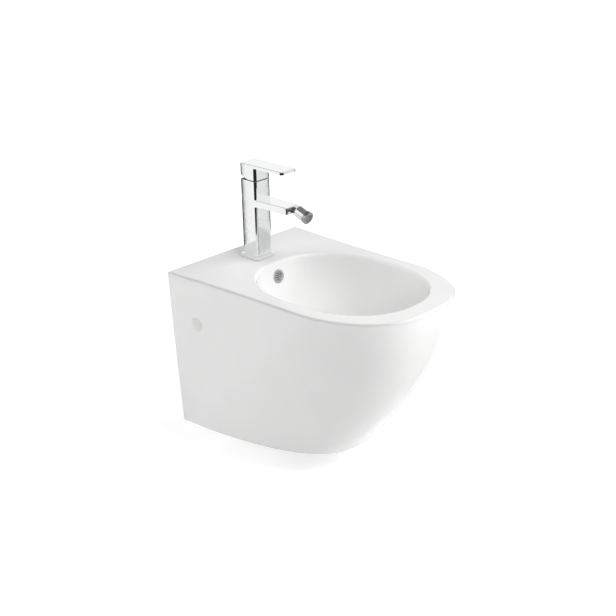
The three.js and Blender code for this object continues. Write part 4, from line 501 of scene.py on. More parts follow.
def plan_at(level):
    """Half widths, depths and nose power of the outside at a level."""
    share = (level - FOOT_LEVEL) / (RIM_LEVEL - FOOT_LEVEL)
    flare = 1 - (1 - share) ** FLARE_POWER
    prow = 1 - (1 - share) ** PROW_POWER
    depth = between(FOOT_DEPTH, RIM_DEPTH, prow)
    turn_share = between(FOOT_TURN_DEPTH / FOOT_DEPTH, RIM_TURN_DEPTH / RIM_DEPTH, flare)
    return (between(FOOT_WALL_HALF, RIM_WALL_HALF, flare), between(FOOT_TURN_HALF, RIM_TURN_HALF, flare),
            turn_share * depth, depth, between(FOOT_NOSE_POWER, RIM_NOSE_POWER, flare))


def outside_ring(level, inset):
    """Points of the plan at a level: rear line, left side, nose, right side, and back to the start."""
    wall_half, turn_half, turn_depth, depth, power = plan_at(level)
    left = []
    for i in range(SIDE_COLUMNS):
        share = i / SIDE_COLUMNS
        left.append((-between(turn_half, wall_half, (1 - share) ** 2) + inset, -turn_depth * share))
    for i in range(NOSE_COLUMNS):
        angle = (1 - (1 - i / NOSE_COLUMNS) ** 2) * math.pi / 2
        half = (turn_half - inset) * math.cos(angle) ** (2 / power)
        reach = (depth - inset - turn_depth) * math.sin(angle) ** (2 / NOSE_DEPTH_POWER)
        left.append((-half, -turn_depth - reach))
    right = [(-x, y) for x, y in reversed(left)]
    corner = wall_half - inset
    rear = [(corner * (1 - 2 * i / REAR_COLUMNS), 0) for i in range(1, REAR_COLUMNS)]
    return left + [(0, inset - depth)] + right + rear


def share_steps(count):
    return [step / count for step in range(count + 1)]


def quarter_turn(count):
    return [share * math.pi / 2 for share in share_steps(count)]


COLUMNS = len(outside_ring(RIM_LEVEL, 0))
print("columns round the plan:", COLUMNS)

# %% [markdown]
# The bowl is an oval opening in the deck. Its wall drops almost upright at first and then sweeps in to
# a round floor over the waste, which lies nearer the wall than the middle of the opening. Every column
# of the outside is carried on to the point of the oval that lies in the same direction.

# %% Shape of the bowl
OPENING_HALF_WIDTH, OPENING_HALF_LENGTH, OPENING_MIDDLE = 134, 173, 294
FLOOR_RADIUS, DRAIN_SETBACK, BOWL_DEPTH = 34, 240, 140
BOWL_PLAN_POWER, ROUND_POWER, BOWL_REACH_POWER, BOWL_DROP_POWER = 2.3, 2, 2.4, 1.6
FLOOR_LEVEL = RIM_LEVEL - BOWL_DEPTH


def bowl_angles():
    """Direction of each column, as the oval's own angle."""
    angles = []
    for x, y in outside_ring(RIM_LEVEL, RIM_ROUND):
        across, along = x / OPENING_HALF_WIDTH, (y + OPENING_MIDDLE) / OPENING_HALF_LENGTH
        power = BOWL_PLAN_POWER / 2
        angles.append(math.atan2(math.copysign(abs(along) ** power, along),
                                 math.copysign(abs(across) ** power, across)))
    return angles


BOWL_ANGLES = bowl_angles()


def oval_ring(half_width, half_length, middle, power):
    ring = []
    for angle in BOWL_ANGLES:
        across, along = math.cos(angle), math.sin(angle)
        x = half_width * math.copysign(abs(across) ** (2 / power), across)
        y = half_length * math.copysign(abs(along) ** (2 / power), along)
        ring.append((x, y - middle))
    return ring


def bowl_ring(turn, offset):
    """Ring of the bowl's wall, from 0 at the rim to a quarter turn at the floor, and its level."""
    reach = max(math.cos(turn), 0) ** (2 / BOWL_REACH_POWER)
    drop = math.sin(turn) ** (2 / BOWL_DROP_POWER)
    ring = oval_ring(
        between(FLOOR_RADIUS, OPENING_HALF_WIDTH, reach) + offset,
        between(FLOOR_RADIUS, OPENING_HALF_LENGTH, reach) + offset,
        between(DRAIN_SETBACK, OPENING_MIDDLE, reach),
        between(ROUND_POWER, BOWL_PLAN_POWER, reach))
    return ring, RIM_LEVEL - drop * (BOWL_DEPTH + offset)


def turn_at_drop(drop):
    return math.asin((drop / BOWL_DEPTH) ** (BOWL_DROP_POWER / 2))


def opening_ring(grown):
    """The bowl's opening in the deck, made larger all round."""
    return oval_ring(OPENING_HALF_WIDTH + grown, OPENING_HALF_LENGTH + grown,
                     OPENING_MIDDLE, BOWL_PLAN_POWER)


# %% [markdown]
# The grid primitive has rows of corners in order, so its rows can be laid on the rings one by one. The
# last column lies on the first one, and merging them closes the sheet. The two open ends, at the foot
# and at the bowl's floor, are each filled with one flat face.

# %% Wrap a grid round rings
EDGE_STEPS, SIDE_STEPS, BOWL_EDGE_STEPS, BOWL_STEPS = 6, 34, 8, 38
SIDE_END_SHARE = 0.006
DECK_SHARES = (0.04, 0.3, 0.65, 0.96)
UNDER_EDGE = 1.5


def wrap(name, rings):
    """A closed skin through rings of (points, level), all with the same number of columns."""
    columns = len(rings[0][0])
    bpy.ops.mesh.primitive_grid_add(x_subdivisions=columns, y_subdivisions=len(rings) - 1, size=1)
    piece = bpy.context.active_object
    piece.name = name
    places = []
    for points, level in rings:
        for x, y in points + points[:1]:
            places.extend((x * MM, y * MM, level * MM))
    piece.data.vertices.foreach_set("co", places)
    piece.data.update()
    settle(piece)
    first, last = rings[0][1] * MM, rings[-1][1] * MM
    for level in (first, last):
        pick(piece, "EDGE", lambda edge: edge.is_boundary and abs(edge_middle(edge).z - level) < 0.01 * MM)
        bpy.ops.mesh.edge_face_add()
        close_edit()
    return settle(piece)


def shell_rings():
    """Rings from the foot's edge, up the side and over the rim, to the flat deck."""
    rings = []
    for turn in quarter_turn(EDGE_STEPS):
        level = FOOT_LEVEL + FOOT_ROUND * (1 - math.cos(turn))
        rings.append((outside_ring(level, FOOT_ROUND * (1 - math.sin(turn))), level))
    low, high = FOOT_LEVEL + FOOT_ROUND, RIM_LEVEL - RIM_ROUND
    for share in [SIDE_END_SHARE] + share_steps(SIDE_STEPS)[1:-1] + [1 - SIDE_END_SHARE]:
        rings.append((outside_ring(between(low, high, share), 0), between(low, high, share)))
    for turn in quarter_turn(EDGE_STEPS):
        level = high + RIM_ROUND * math.sin(turn)
        rings.append((outside_ring(level, RIM_ROUND * (1 - math.cos(turn))), level))
    return rings


def deck_rings():
    """Flat rings between the rim's round edge and the bowl's round edge."""
    pairs = list(zip(outside_ring(RIM_LEVEL, RIM_ROUND), opening_ring(BOWL_ROUND)))
    return [([(between(a[0], b[0], share), between(a[1], b[1], share)) for a, b in pairs], RIM_LEVEL)
            for share in DECK_SHARES]


def bowl_wall_rings():
    """Rings from just under the bowl's round edge down its wall to the floor."""
    start = turn_at_drop(BOWL_ROUND + UNDER_EDGE)
    return [bowl_ring(between(start, math.pi / 2, share), 0) for share in share_steps(BOWL_STEPS)]


def bowl_rings():
    """Rings over the bowl's round edge and down to its floor."""
    edge = [(opening_ring(BOWL_ROUND * (1 - math.sin(turn))), RIM_LEVEL - BOWL_ROUND * (1 - math.cos(turn)))
            for turn in quarter_turn(BOWL_EDGE_STEPS)]
    return edge + bowl_wall_rings()


ceramic = wrap("ceramic_bowl_and_body", shell_rings() + deck_rings() + bowl_rings())
print("faces of the skin:", len(ceramic.data.polygons))

# %% [markdown]
# The casting is hollow. Slip sets on the mould to a wall of about 12 mm, and the bowl hangs inside it.
# The hollow is one closed form: the outer skin moved inwards, cut off behind the rear wall, with a room
# under the deck for the tap's nut, and less a bowl that is 11 mm thicker all round.

# %% Hollow of the casting
SHELL_WALL, REAR_WALL, FOOT_FLOOR, BOWL_WALL = 12, 14, 12, 11
HOLLOW_TOP, UNDER_DECK, OVERLAP, ABOVE_RIM = 61, 80, 6, 10
TAP_ROOM_HALF_WIDTH, TAP_ROOM_DEPTH = 150, 150
HOLLOW_STEPS, THICK_BOWL_STEPS = 12, 24


def casting_hollow():
    levels = [between(FOOT_LEVEL + FOOT_FLOOR, HOLLOW_TOP, share) for share in share_steps(HOLLOW_STEPS)]
    hollow = wrap("hollow", [(outside_ring(level, SHELL_WALL), level) for level in levels])
    pick(hollow, "VERT", everything)
    bpy.ops.mesh.bisect(plane_co=(0, -REAR_WALL * MM, 0), plane_no=(0, 1, 0), use_fill=True,
                        clear_outer=True)
    close_edit()
    tap_room = cube("under_deck", (-TAP_ROOM_HALF_WIDTH, TAP_ROOM_HALF_WIDTH),
                    (-TAP_ROOM_DEPTH, -REAR_WALL), (HOLLOW_TOP - OVERLAP, UNDER_DECK))
    join(hollow, tap_room)
    rings = [bowl_ring(turn, BOWL_WALL) for turn in quarter_turn(THICK_BOWL_STEPS)]
    return cut(hollow, wrap("thick_bowl", [(rings[0][0], RIM_LEVEL + ABOVE_RIM)] + rings))


cut(ceramic, casting_hollow())
print("faces with the hollow:", len(ceramic.data.polygons))

# %% [markdown]
# Bosses thicken the casting where things pass through it: a round one under the waste, one behind each
# side screw, and a flat duct that takes the overflow down behind the bowl to the waste. The duct is
# drawn as a band in side view and extruded sideways.

# %% Bosses and overflow duct
DUCT_WIDTH, DUCT_DEPTH, DUCT_WALL, DUCT_RISE = 30, 11, 5, 12
DUCT_SHARES = (0, 0.35, 0.6, 0.78)
DUCT_END_AHEAD, DUCT_END_DROP = 22.5, 16.5
OVERFLOW_DROP = 31
DRAIN_SPOT, DRAIN_BOSS_RADIUS, DRAIN_BOSS_DEPTH, SUNK = (0, -DRAIN_SETBACK), 38, 28, 0.5
SIDE_SCREW_SETBACK = 68
SIDE_BOSS_RADIUS, SIDE_BOSS_INNER, SIDE_BOSS_OUTER = 19, 149.9, 166


def bowl_rear(drop):
    """Setback of the bowl's rear wall on the middle plane, at a drop below the rim."""
    reach = math.cos(turn_at_drop(drop)) ** (2 / BOWL_REACH_POWER)
    return between(DRAIN_SETBACK, OPENING_MIDDLE, reach) - between(FLOOR_RADIUS, OPENING_HALF_LENGTH, reach)


def duct_line(lengthen):
    """Middle line of the duct in side view, from its top down to the waste."""
    line = []
    for share in DUCT_SHARES:
        drop = between(OVERFLOW_DROP, BOWL_DEPTH, share)
        line.append((BOWL_WALL + DUCT_DEPTH / 2 - bowl_rear(drop), RIM_LEVEL - drop))
    top = (line[0][0], line[0][1] + DUCT_RISE + lengthen)
    return [top] + line + [(DUCT_END_AHEAD - DRAIN_SETBACK, FLOOR_LEVEL - DUCT_END_DROP)]


def side_profile(name, outline, half_width):
    """A closed outline of (y, z) points, extruded to both sides of the middle plane."""
    piece = draw_line(name, outline)
    bpy.ops.mesh.select_all(action="SELECT")
    bpy.ops.mesh.edge_face_add()
    bpy.ops.mesh.extrude_region_move(TRANSFORM_OT_translate={"value": (0, 2 * half_width * MM, 0)})
    close_edit()
    place(piece, turn=(0, 0, 90), shift=(half_width * MM, 0, 0))
    return settle(piece)


def duct_band(name, lengthen, half, half_width):
    """The duct's line as a band of a given half thickness, extruded across the middle plane."""
    line = duct_line(lengthen)
    one, other = [], []
    for i, (y, z) in enumerate(line):
        before, after = line[max(i - 1, 0)], line[min(i + 1, len(line) - 1)]
        run = Vector((after[0] - before[0], after[1] - before[1])).normalized()
        one.append((y - run.y * half, z + run.x * half))
        other.append((y + run.y * half, z - run.x * half))
    return side_profile(name, one + other[::-1], half_width)


def plunge(name, radius, low, high, spot, sides=96):
    """An upright cylinder at a spot of the plan."""
    return place(cylinder(name, radius, low, high, sides), shift=(spot[0] * MM, spot[1] * MM, 0))


def across_side(name, radius, inner, outer, side):
    """A cylinder round the axis of the right or left side screw."""
    return place(cylinder(name, radius, inner, outer), turn=(0, 90 * side, 0),
                 shift=(0, -SIDE_SCREW_SETBACK * MM, 0))


join(ceramic, duct_band("duct_shell", DUCT_WALL, DUCT_DEPTH / 2 + DUCT_WALL, DUCT_WIDTH / 2 + DUCT_WALL))
join(ceramic, plunge("drain_boss", DRAIN_BOSS_RADIUS, FLOOR_LEVEL - DRAIN_BOSS_DEPTH, FLOOR_LEVEL - SUNK,
                     DRAIN_SPOT))
for side in (-1, 1):
    join(ceramic, across_side("side_boss", SIDE_BOSS_RADIUS, SIDE_BOSS_INNER, SIDE_BOSS_OUTER, side))
print("faces with bosses:", len(ceramic.data.polygons))

# %% [markdown]
# The holes are cut last, with the same tools as on the real piece: round ones for tap, waste, overflow
# and side screws, and round-cornered openings in the foot and the rear wall for hands, pipes and the
# two wall brackets. The bowl form cuts once more, so that nothing of the duct or boss is left inside.

# %% Holes and openings
DRAIN_RADIUS, DRAIN_DEPTH, FLANGE_SEAT_RADIUS, FLANGE_SEAT_DEPTH, ABOVE_FLOOR = 22.5, 34, 32.3, 5, 20
OVERFLOW_RADIUS, OVERFLOW_DEPTH, OVERFLOW_SEAT_RADIUS, OVERFLOW_SEAT_DEPTH = 12, 16.5, 13.9, 0.05
TAP_SETBACK, TAP_HOLE_RADIUS, TAP_HOLE_LOW, TAP_HOLE_TOP = 68, 17.5, 74, 102
SERVICE_HALF_WIDTH, SERVICE_FRONT, SERVICE_REAR, SERVICE_TOP, SERVICE_CORNER = 105, -290, -34, -221, 40
OPENING_HALF_SPAN, OPENING_LOW, OPENING_TOP, OPENING_CORNER = 100, -205, -45, 30
POCKET_INNER, POCKET_OUTER, POCKET_HALF_HEIGHT, POCKET_CORNER = 61, 127, 31, 8
SCREW_HOLE_RADIUS, SCREW_HOLE_INNER, SCREW_HOLE_OUTER = 10.8, 144, 178
CAP_SEAT_RADIUS, CAP_SEAT_DEPTH = 14.1, 1.2
PROUD, LEAN_PROBE = 6, 0.5


def rounded_slab(name, x, y, z, corner, axis):
    """A block whose four edges along an axis are rounded."""
    slab = cube(name, x, y, z)
    index = "XYZ".index(axis)
    round_edges(slab, lambda edge: abs(edge_run(edge)[index]) > 0.99, corner, 10)
    return slab


def overflow_place():
    """Middle of the overflow on the bowl's rear wall, and the angle at which that wall leans."""
    rise = bowl_rear(OVERFLOW_DROP + LEAN_PROBE) - bowl_rear(OVERFLOW_DROP - LEAN_PROBE)
    lean = math.degrees(math.atan2(rise, 2 * LEAN_PROBE))
    return Vector((0, -bowl_rear(OVERFLOW_DROP), RIM_LEVEL - OVERFLOW_DROP)) * MM, 90 - lean


OVERFLOW_SPOT, OVERFLOW_TURN = overflow_place()


def at_overflow(piece):
    return place(piece, (OVERFLOW_TURN, 0, 0), OVERFLOW_SPOT)


def side_half(setback, level):
    wall_half, turn_half, turn_depth = plan_at(level)[:3]
    return between(turn_half, wall_half, (1 - setback / turn_depth) ** 2)


def side_turn():
    """The turn that points an upright piece square out of the right side at the side screw."""
    reach = side_half(SIDE_SCREW_SETBACK, 0)
    narrowing = side_half(SIDE_SCREW_SETBACK + 1, 0) - reach
    outward = Vector((1, narrowing, reach - side_half(SIDE_SCREW_SETBACK, 1)))
    return Vector((0, 0, 1)).rotation_difference(outward.normalized()), reach


def on_side(piece, side):
    """Turns an upright piece to stand on the right or left side of the ceramic, round the side screw."""
    turn, reach = side_turn()
    alone(piece)
    piece.rotation_mode = "QUATERNION"
    piece.rotation_quaternion = turn
    piece.location = (reach * MM, -SIDE_SCREW_SETBACK * MM, 0)
    bpy.ops.object.transform_apply(location=True, rotation=True, scale=True)
    piece.rotation_mode = "XYZ"
    return mirror(piece) if side < 0 else piece


cut(ceramic, wrap("bowl_cutter", [(bowl_ring(0, 0)[0], RIM_LEVEL + ABOVE_RIM)] + bowl_wall_rings()))
cutters = [
    duct_band("duct_inside", 0, DUCT_DEPTH / 2, DUCT_WIDTH / 2),
    at_overflow(cylinder("overflow_hole", OVERFLOW_RADIUS, -OVERFLOW_DEPTH, PROUD)),
    at_overflow(cylinder("overflow_seat", OVERFLOW_SEAT_RADIUS, -OVERFLOW_SEAT_DEPTH, PROUD)),
    plunge("drain_hole", DRAIN_RADIUS, FLOOR_LEVEL - DRAIN_DEPTH, FLOOR_LEVEL + ABOVE_FLOOR, DRAIN_SPOT),
    plunge("flange_seat", FLANGE_SEAT_RADIUS, FLOOR_LEVEL - FLANGE_SEAT_DEPTH, FLOOR_LEVEL + ABOVE_FLOOR,
           DRAIN_SPOT),
    plunge("tap_hole", TAP_HOLE_RADIUS, TAP_HOLE_LOW, TAP_HOLE_TOP, (0, -TAP_SETBACK)),
    rounded_slab("service_opening", (-SERVICE_HALF_WIDTH, SERVICE_HALF_WIDTH),
                 (SERVICE_FRONT, SERVICE_REAR), (FOOT_LEVEL - PROUD, SERVICE_TOP), SERVICE_CORNER, "Z"),
    rounded_slab("wall_opening", (-OPENING_HALF_SPAN, OPENING_HALF_SPAN),
                 (-REAR_WALL - PROUD, PROUD), (OPENING_LOW, OPENING_TOP), OPENING_CORNER, "Y"),
]
for side in (-1, 1):
    cutters += [
        rounded_slab("bracket_pocket", sorted((POCKET_INNER * side, POCKET_OUTER * side)),
                     (-REAR_WALL - PROUD, PROUD), (-POCKET_HALF_HEIGHT, POCKET_HALF_HEIGHT),
                     POCKET_CORNER, "Y"),
        across_side("screw_hole", SCREW_HOLE_RADIUS, SCREW_HOLE_INNER, SCREW_HOLE_OUTER, side),
        on_side(cylinder("cap_seat", CAP_SEAT_RADIUS, -CAP_SEAT_DEPTH, PROUD), side),
    ]
cut(ceramic, *cutters)
settle(ceramic, gap=0.0002)

# Painted shade on the rim's outer rounding, full on the sides and fading out round the nose.
ROUNDING_LOW, ROUNDING_HIGH = 0.1, 0.995
FADE_START, FADE_WIDTH = 0.2, 0.5


def mark_painted_rim_shade(piece):
    """Marks painted shade on the rounding along the rim's outer edge on both sides, fading out round the
    nose.
    """
    marks = piece.data.attributes.new(PAINTED_EDGE_SHADE, "FLOAT", "POINT").data
    middle = Vector((0, -OPENING_MIDDLE)) * MM
    count = 0
    for corner, mark in zip(piece.data.vertices, marks):
        share = (corner.co.z / MM - RIM_LEVEL) / RIM_ROUND + 1
        facing = corner.normal.xy
        if ROUNDING_LOW < share < ROUNDING_HIGH and facing.dot(corner.co.xy - middle) > 0:
            sideways = abs(facing.x) / facing.length
            mark.value = min(max((sideways - FADE_START) / FADE_WIDTH, 0), 1)
            count += 1
    return count


print("corners on the rim's edge:", mark_painted_rim_shade(ceramic))
hand_over(ceramic, "ceramic_body", "glaze", 28)

# %% [markdown]
# The tap's body is one casting: a square tower with a flat spout that narrows towards its tip. The tower
# starts as a cube with rounded upright edges. The spout is a second cube whose front face is extruded
# and scaled, and the two are joined. A round spigot below centres the tap in the hole of the deck. A thin
# black ring on the tower is painted shade: it stands for the shadow in the gap under the handle, so that
# the gap reads as a dark line.

# %% Tap body
TAP_PLACE = Vector((0, -TAP_SETBACK, RIM_LEVEL)) * MM
TOWER_HALF_WIDTH, TOWER_HALF_LENGTH = 20.5, 21.5
TOWER_LOW, TOWER_TOP, TOWER_CORNER, TOWER_EDGE = 7.4, 161, 5, 0.25
SPOUT_LOW, SPOUT_TOP, SPOUT_REACH, SPOUT_TIP_HALF = 110, 124, 81, 16.5
SPOUT_ROOT, SPOUT_CORNER, SPOUT_EDGE = 13, 3, 1.2
SPOUT_MIDDLE = (SPOUT_LOW + SPOUT_TOP) / 2
SPOUT_FRONT = -TOWER_HALF_LENGTH - SPOUT_REACH
SPIGOT_RADIUS, SPIGOT_LOW, CARTRIDGE_RADIUS, CARTRIDGE_LOW = 15, -6, 13.3, 123
STUD_RADIUS, STUD_TOP, STUD_ALONG = 4.3, 4.3, -8
WATER_RADIUS, WATER_ALONG, THREAD_RADIUS, THREAD_DEPTH = 3.2, -7, 5.8, 8.3
PORT_ACROSS, PORT_ALONG, PORT_RADIUS, PORT_TOP, PASSAGE_RADIUS = 7, 3, 5, 10, 2.8
RING_INSET, RING_SUNK, RING_PROUD = 0.25, 0.1, 0.35
PAST, SMALL_BORE_SIDES = 2, 32


def on_level(edge, level):
    return all(abs(corner.co.z - level * MM) < 0.01 * MM for corner in edge.verts)


def lengthwise(piece, level):
    """Lays an upright piece down, so that its heights become places along Y."""
    return place(piece, turn=(-90, 0, 0), shift=(0, 0, level * MM))


def join_flats(piece):
    """Joins faces that lie in one plane."""
    pick(piece, "FACE", everything)
    bpy.ops.mesh.dissolve_limited(angle_limit=math.radians(0.5))
    close_edit()
    return piece


def tower_slab(name, half_width, half_length, low, high, corner):
    """A block round the tap's axis, with its upright edges rounded."""
    return rounded_slab(name, (-half_width, half_width), (-half_length, half_length), (low, high),
                        corner, "Z")


def on_tap(piece):
    return place(join_flats(piece), shift=TAP_PLACE)


def make_spout():
    start = -TOWER_HALF_LENGTH
    spout = cube("spout", (-TOWER_HALF_WIDTH, TOWER_HALF_WIDTH), (start, start + SPOUT_ROOT),
                 (SPOUT_LOW, SPOUT_TOP))
    pick(spout, "FACE", lambda face: face.normal.y < -0.99)
    bpy.ops.mesh.extrude_region_move(TRANSFORM_OT_translate={"value": (0, -SPOUT_REACH * MM, 0)})
    bpy.ops.transform.resize(value=(SPOUT_TIP_HALF / TOWER_HALF_WIDTH, 1, 1))
    close_edit()
    round_edges(spout, lambda edge: upright(edge) and edge_middle(edge).y < (SPOUT_FRONT + 1) * MM,
                SPOUT_CORNER, 6)
    round_edges(spout, lambda edge: not upright(edge) and edge_middle(edge).y < (start - 1) * MM,
                SPOUT_EDGE, 4)
    return spout


def make_tap_body():
    body = tower_slab("tap_body_casting", TOWER_HALF_WIDTH, TOWER_HALF_LENGTH, TOWER_LOW, TOWER_TOP,
                      TOWER_CORNER)
    round_edges(body, lambda edge: on_level(edge, TOWER_TOP), TOWER_EDGE, 2)
    join(body, make_spout())
    join(body, cylinder("spigot", SPIGOT_RADIUS, SPIGOT_LOW, TOWER_LOW + 1))
    below, above, small = SPIGOT_LOW - PAST, CARTRIDGE_LOW + 1, SMALL_BORE_SIDES
    bores = [
        cylinder("cartridge_bore", CARTRIDGE_RADIUS, CARTRIDGE_LOW, TOWER_TOP + PAST),
        plunge("stud_hole", STUD_RADIUS, below, STUD_TOP, (0, STUD_ALONG), small),
        plunge("mixed_water_down", WATER_RADIUS, SPOUT_MIDDLE, above, (0, WATER_ALONG), small),
        lengthwise(cylinder("mixed_water_along", WATER_RADIUS, SPOUT_FRONT - PAST, WATER_ALONG, small),
                   SPOUT_MIDDLE),
        lengthwise(cylinder("joint_thread", THREAD_RADIUS, SPOUT_FRONT - PAST,
                            SPOUT_FRONT + THREAD_DEPTH, 48), SPOUT_MIDDLE),
    ]
    for x in (-PORT_ACROSS, PORT_ACROSS):
        bores.append(plunge("supply_port", PORT_RADIUS, below, PORT_TOP, (x, PORT_ALONG), small))
        bores.append(plunge("supply_passage", PASSAGE_RADIUS, PORT_TOP - PAST, above,
                            (x, PORT_ALONG), small))
    return on_tap(settle(cut(body, *bores)))


hand_over(make_tap_body(), "tap_body", "chrome")

# Painted shade: a black ring standing for the shadow in the gap under the handle; no part of the tap.
slide_ring = tower_slab("slide_ring", TOWER_HALF_WIDTH - RING_INSET, TOWER_HALF_LENGTH - RING_INSET,
                        TOWER_TOP - RING_SUNK, TOWER_TOP + RING_PROUD, TOWER_CORNER - RING_INSET)
cut(slide_ring, cylinder("slide_ring_bore", CARTRIDGE_RADIUS, TOWER_TOP - 1, TOWER_TOP + 1))
hand_over(on_tap(slide_ring), "tap_body", "dark_plastic", stands_for=False)

# %% [markdown]
# The base plate hides the hole in the deck. It is a rounded slab whose top edge is polished to a small
# radius. The thin gasket under it is clear silicone, drawn with an opaque pale finish.

# %% Base plate and gasket
PLATE_HALF_WIDTH, PLATE_HALF_LENGTH, PLATE_LOW, PLATE_TOP = 25, 26, 1.6, 7.1
PLATE_CORNER, PLATE_EDGE, PLATE_BORE, PLATE_BORE_TOP = 6, 1, 15.3, 9
GASKET_INSET, GASKET_LOW, GASKET_TOP = 1.5, 0.3, 1.3
clear_silicone = make_finish("clear_silicone", (0.74, 0.74, 0.73), 0, 0.5,
                             colors=(350, 4, (0.78, 0.78, 0.77), (0.70, 0.70, 0.69)),
                             grain=(1100, 4, 0.03, 0.4))

plate = tower_slab("square_base_plate", PLATE_HALF_WIDTH, PLATE_HALF_LENGTH, PLATE_LOW, PLATE_TOP,
                   PLATE_CORNER)
round_edges(plate, lambda edge: on_level(edge, PLATE_TOP), PLATE_EDGE, 4)
cut(plate, cylinder("plate_hole", PLATE_BORE, 0, PLATE_BORE_TOP))
hand_over(on_tap(plate), "tap_base_plate", "chrome")

gasket = tower_slab("base_gasket", PLATE_HALF_WIDTH - GASKET_INSET, PLATE_HALF_LENGTH - GASKET_INSET,
                    GASKET_LOW, GASKET_TOP, PLATE_CORNER)
cut(gasket, cylinder("gasket_hole", PLATE_BORE, 0, PLATE_BORE_TOP))
hand_over(on_tap(gasket), "tap_base_gasket", "rubber", finish=clear_silicone)

# %% [markdown]
# The handle is a hollow square grip with a flat lever on top, cast in one. Grip and lever are two slabs
# joined together. The lever's edges are rounded before that, its lower ones only where it stands free.
# A slanted cut under the heel of the grip leaves room for the handle to lift.

# %% Lever handle
GRIP_LOW, GRIP_TOP, GRIP_LEVEL = 163, 188, 180.5
LEVER_LOW, LEVER_TOP, LEVER_FRONT = 187.7, 194, -95.5
LEVER_CORNER, LEVER_EDGE, LEVER_LOW_EDGE, FREE_START = 6, 1, 0.8, 0.5
LIFT, PIVOT_LEVEL, PIVOT_CLEARANCE = 20, 143, 19
HEEL_FRONT, HEEL_HALF_WIDTH, BELOW_GRIP, BEHIND_GRIP = -10.75, 25, 150, 30
INSIDE_HALF_WIDTH, INSIDE_HALF_LENGTH, INSIDE_ROOF, INSIDE_CORNER = 17, 18, 186.25, 3.5
HUB_RADIUS, HUB_LOW, SOCKET_HALF, SOCKET_LOW, SOCKET_TOP = 7, 166, 2.8, 160, 182.3
GRUB_RADIUS, TOOL_RADIUS, TOOL_START, COVER_RADIUS, COVER_START = 1.9, 2.4, 7, 3.3, 19.8


def heel_level(y):
    tilt = math.radians(LIFT)
    return PIVOT_LEVEL + (PIVOT_CLEARANCE + y * math.sin(tilt)) / math.cos(tilt)


def make_lever():
    front, rear = LEVER_FRONT, TOWER_HALF_LENGTH
    lever = cube("lever", (-TOWER_HALF_WIDTH, TOWER_HALF_WIDTH), (front, rear), (LEVER_LOW, LEVER_TOP))
    round_edges(lever, lambda edge: upright(edge) and edge_middle(edge).y > 0, TOWER_CORNER, 10)
    round_edges(lever, lambda edge: upright(edge) and edge_middle(edge).y < (front + 1) * MM,
                LEVER_CORNER, 10)
    round_edges(lever, lambda edge: on_level(edge, LEVER_TOP), LEVER_EDGE, 4)
    free = -(TOWER_HALF_LENGTH + FREE_START) * MM
    pick(lever, "FACE", everything)
    bpy.ops.mesh.bisect(plane_co=(0, free, 0), plane_no=(0, 1, 0))
    close_edit()
    round_edges(lever, lambda edge: on_level(edge, LEVER_LOW) and edge_middle(edge).y < free - 0.1 * MM,
                LEVER_LOW_EDGE, 3)
    return lever


def make_handle():
    handle = tower_slab("lever_handle", TOWER_HALF_WIDTH, TOWER_HALF_LENGTH, GRIP_LOW, GRIP_TOP,
                        TOWER_CORNER)
    join(handle, make_lever())
    cut(handle, tower_slab("grip_hollow", INSIDE_HALF_WIDTH, INSIDE_HALF_LENGTH, BELOW_GRIP, INSIDE_ROOF,
                           INSIDE_CORNER))
    heel = [(HEEL_FRONT, BELOW_GRIP), (BEHIND_GRIP, BELOW_GRIP), (BEHIND_GRIP, heel_level(BEHIND_GRIP)),
            (HEEL_FRONT, heel_level(HEEL_FRONT))]
    cut(handle, side_profile("heel_wedge", heel, HEEL_HALF_WIDTH))
    join(handle, cylinder("hub", HUB_RADIUS, HUB_LOW, GRIP_TOP))
    square = (-SOCKET_HALF, SOCKET_HALF)
    cuts = [cube("stem_socket", square, square, (SOCKET_LOW, SOCKET_TOP))]
    holes = (("grub_hole", GRUB_RADIUS, 0, 32), ("tool_hole", TOOL_RADIUS, TOOL_START, 32),
             ("cover_seat", COVER_RADIUS, COVER_START, 48))
    for name, radius, start, sides in holes:
        cuts.append(lengthwise(cylinder(name, radius, start, BEHIND_GRIP, sides), GRIP_LEVEL))
    return on_tap(settle(cut(handle, *cuts)))


hand_over(make_handle(), "tap_handle", "chrome")
cover = turn_piece("grub_screw_cover", [(0, 20.1, 0), (3, 20.1, 0.1), (3, 21.5, 0.4), (0, 21.5, 0)], 48)
hand_over(place(lengthwise(cover, GRIP_LEVEL), shift=TAP_PLACE), "handle_screw_cover", "grey_plastic")

# %% [markdown]
# The ball joint and the spray nozzle are turned parts. Their half sections are spun upright and then
# laid over: the joint along the spout, the nozzle 20 degrees below level. All share the ball's centre.

# %% Ball joint and nozzle
BALL_PLACE = Vector((0, -187.5, 213)) * MM
JOINT_TURN, NOZZLE_TURN = (90, 0, 0), (110, 0, 0)
BALL_RADIUS, LIP_RADIUS = 8.5, 8.8
JETS, JET_RING_RADIUS, JET_RADIUS, JET_LOW, JET_TOP = 8, 5.4, 1.1, 18, 26


def spots_round(count, radius, start_share):
    """Evenly spaced spots on a circle round the axis."""
    angles = [2 * math.pi * (i + start_share) / count for i in range(count)]
    return [(radius * math.cos(angle), radius * math.sin(angle)) for angle in angles]


def ball_arc(radius, start, end, steps):
    """Section points on a circle round the ball's centre, between two angles from its rear."""
    points = []
    for share in share_steps(steps):
        angle = math.radians(between(start, end, share))
        points.append((radius * math.sin(angle), -radius * math.cos(angle), 0))
    return points


joint = turn_piece("ball_joint_stem", [
    (2, -24.7, 0.2), (5.5, -24.7, 0.4), (5.5, -16.7, 0), (6.5, -16.7, 0.4), (6.5, -13.7, 0.5),
    (4.2, -13.7, 0.8)] + ball_arc(BALL_RADIUS, 29.6, 166.4, 24))
# Painted shade and reflection: the chrome joint takes the dark metal so that it reads dark.
hand_over(place(joint, JOINT_TURN, BALL_PLACE), "spout_ball_joint", "chrome", finish=painted_dark_metal)

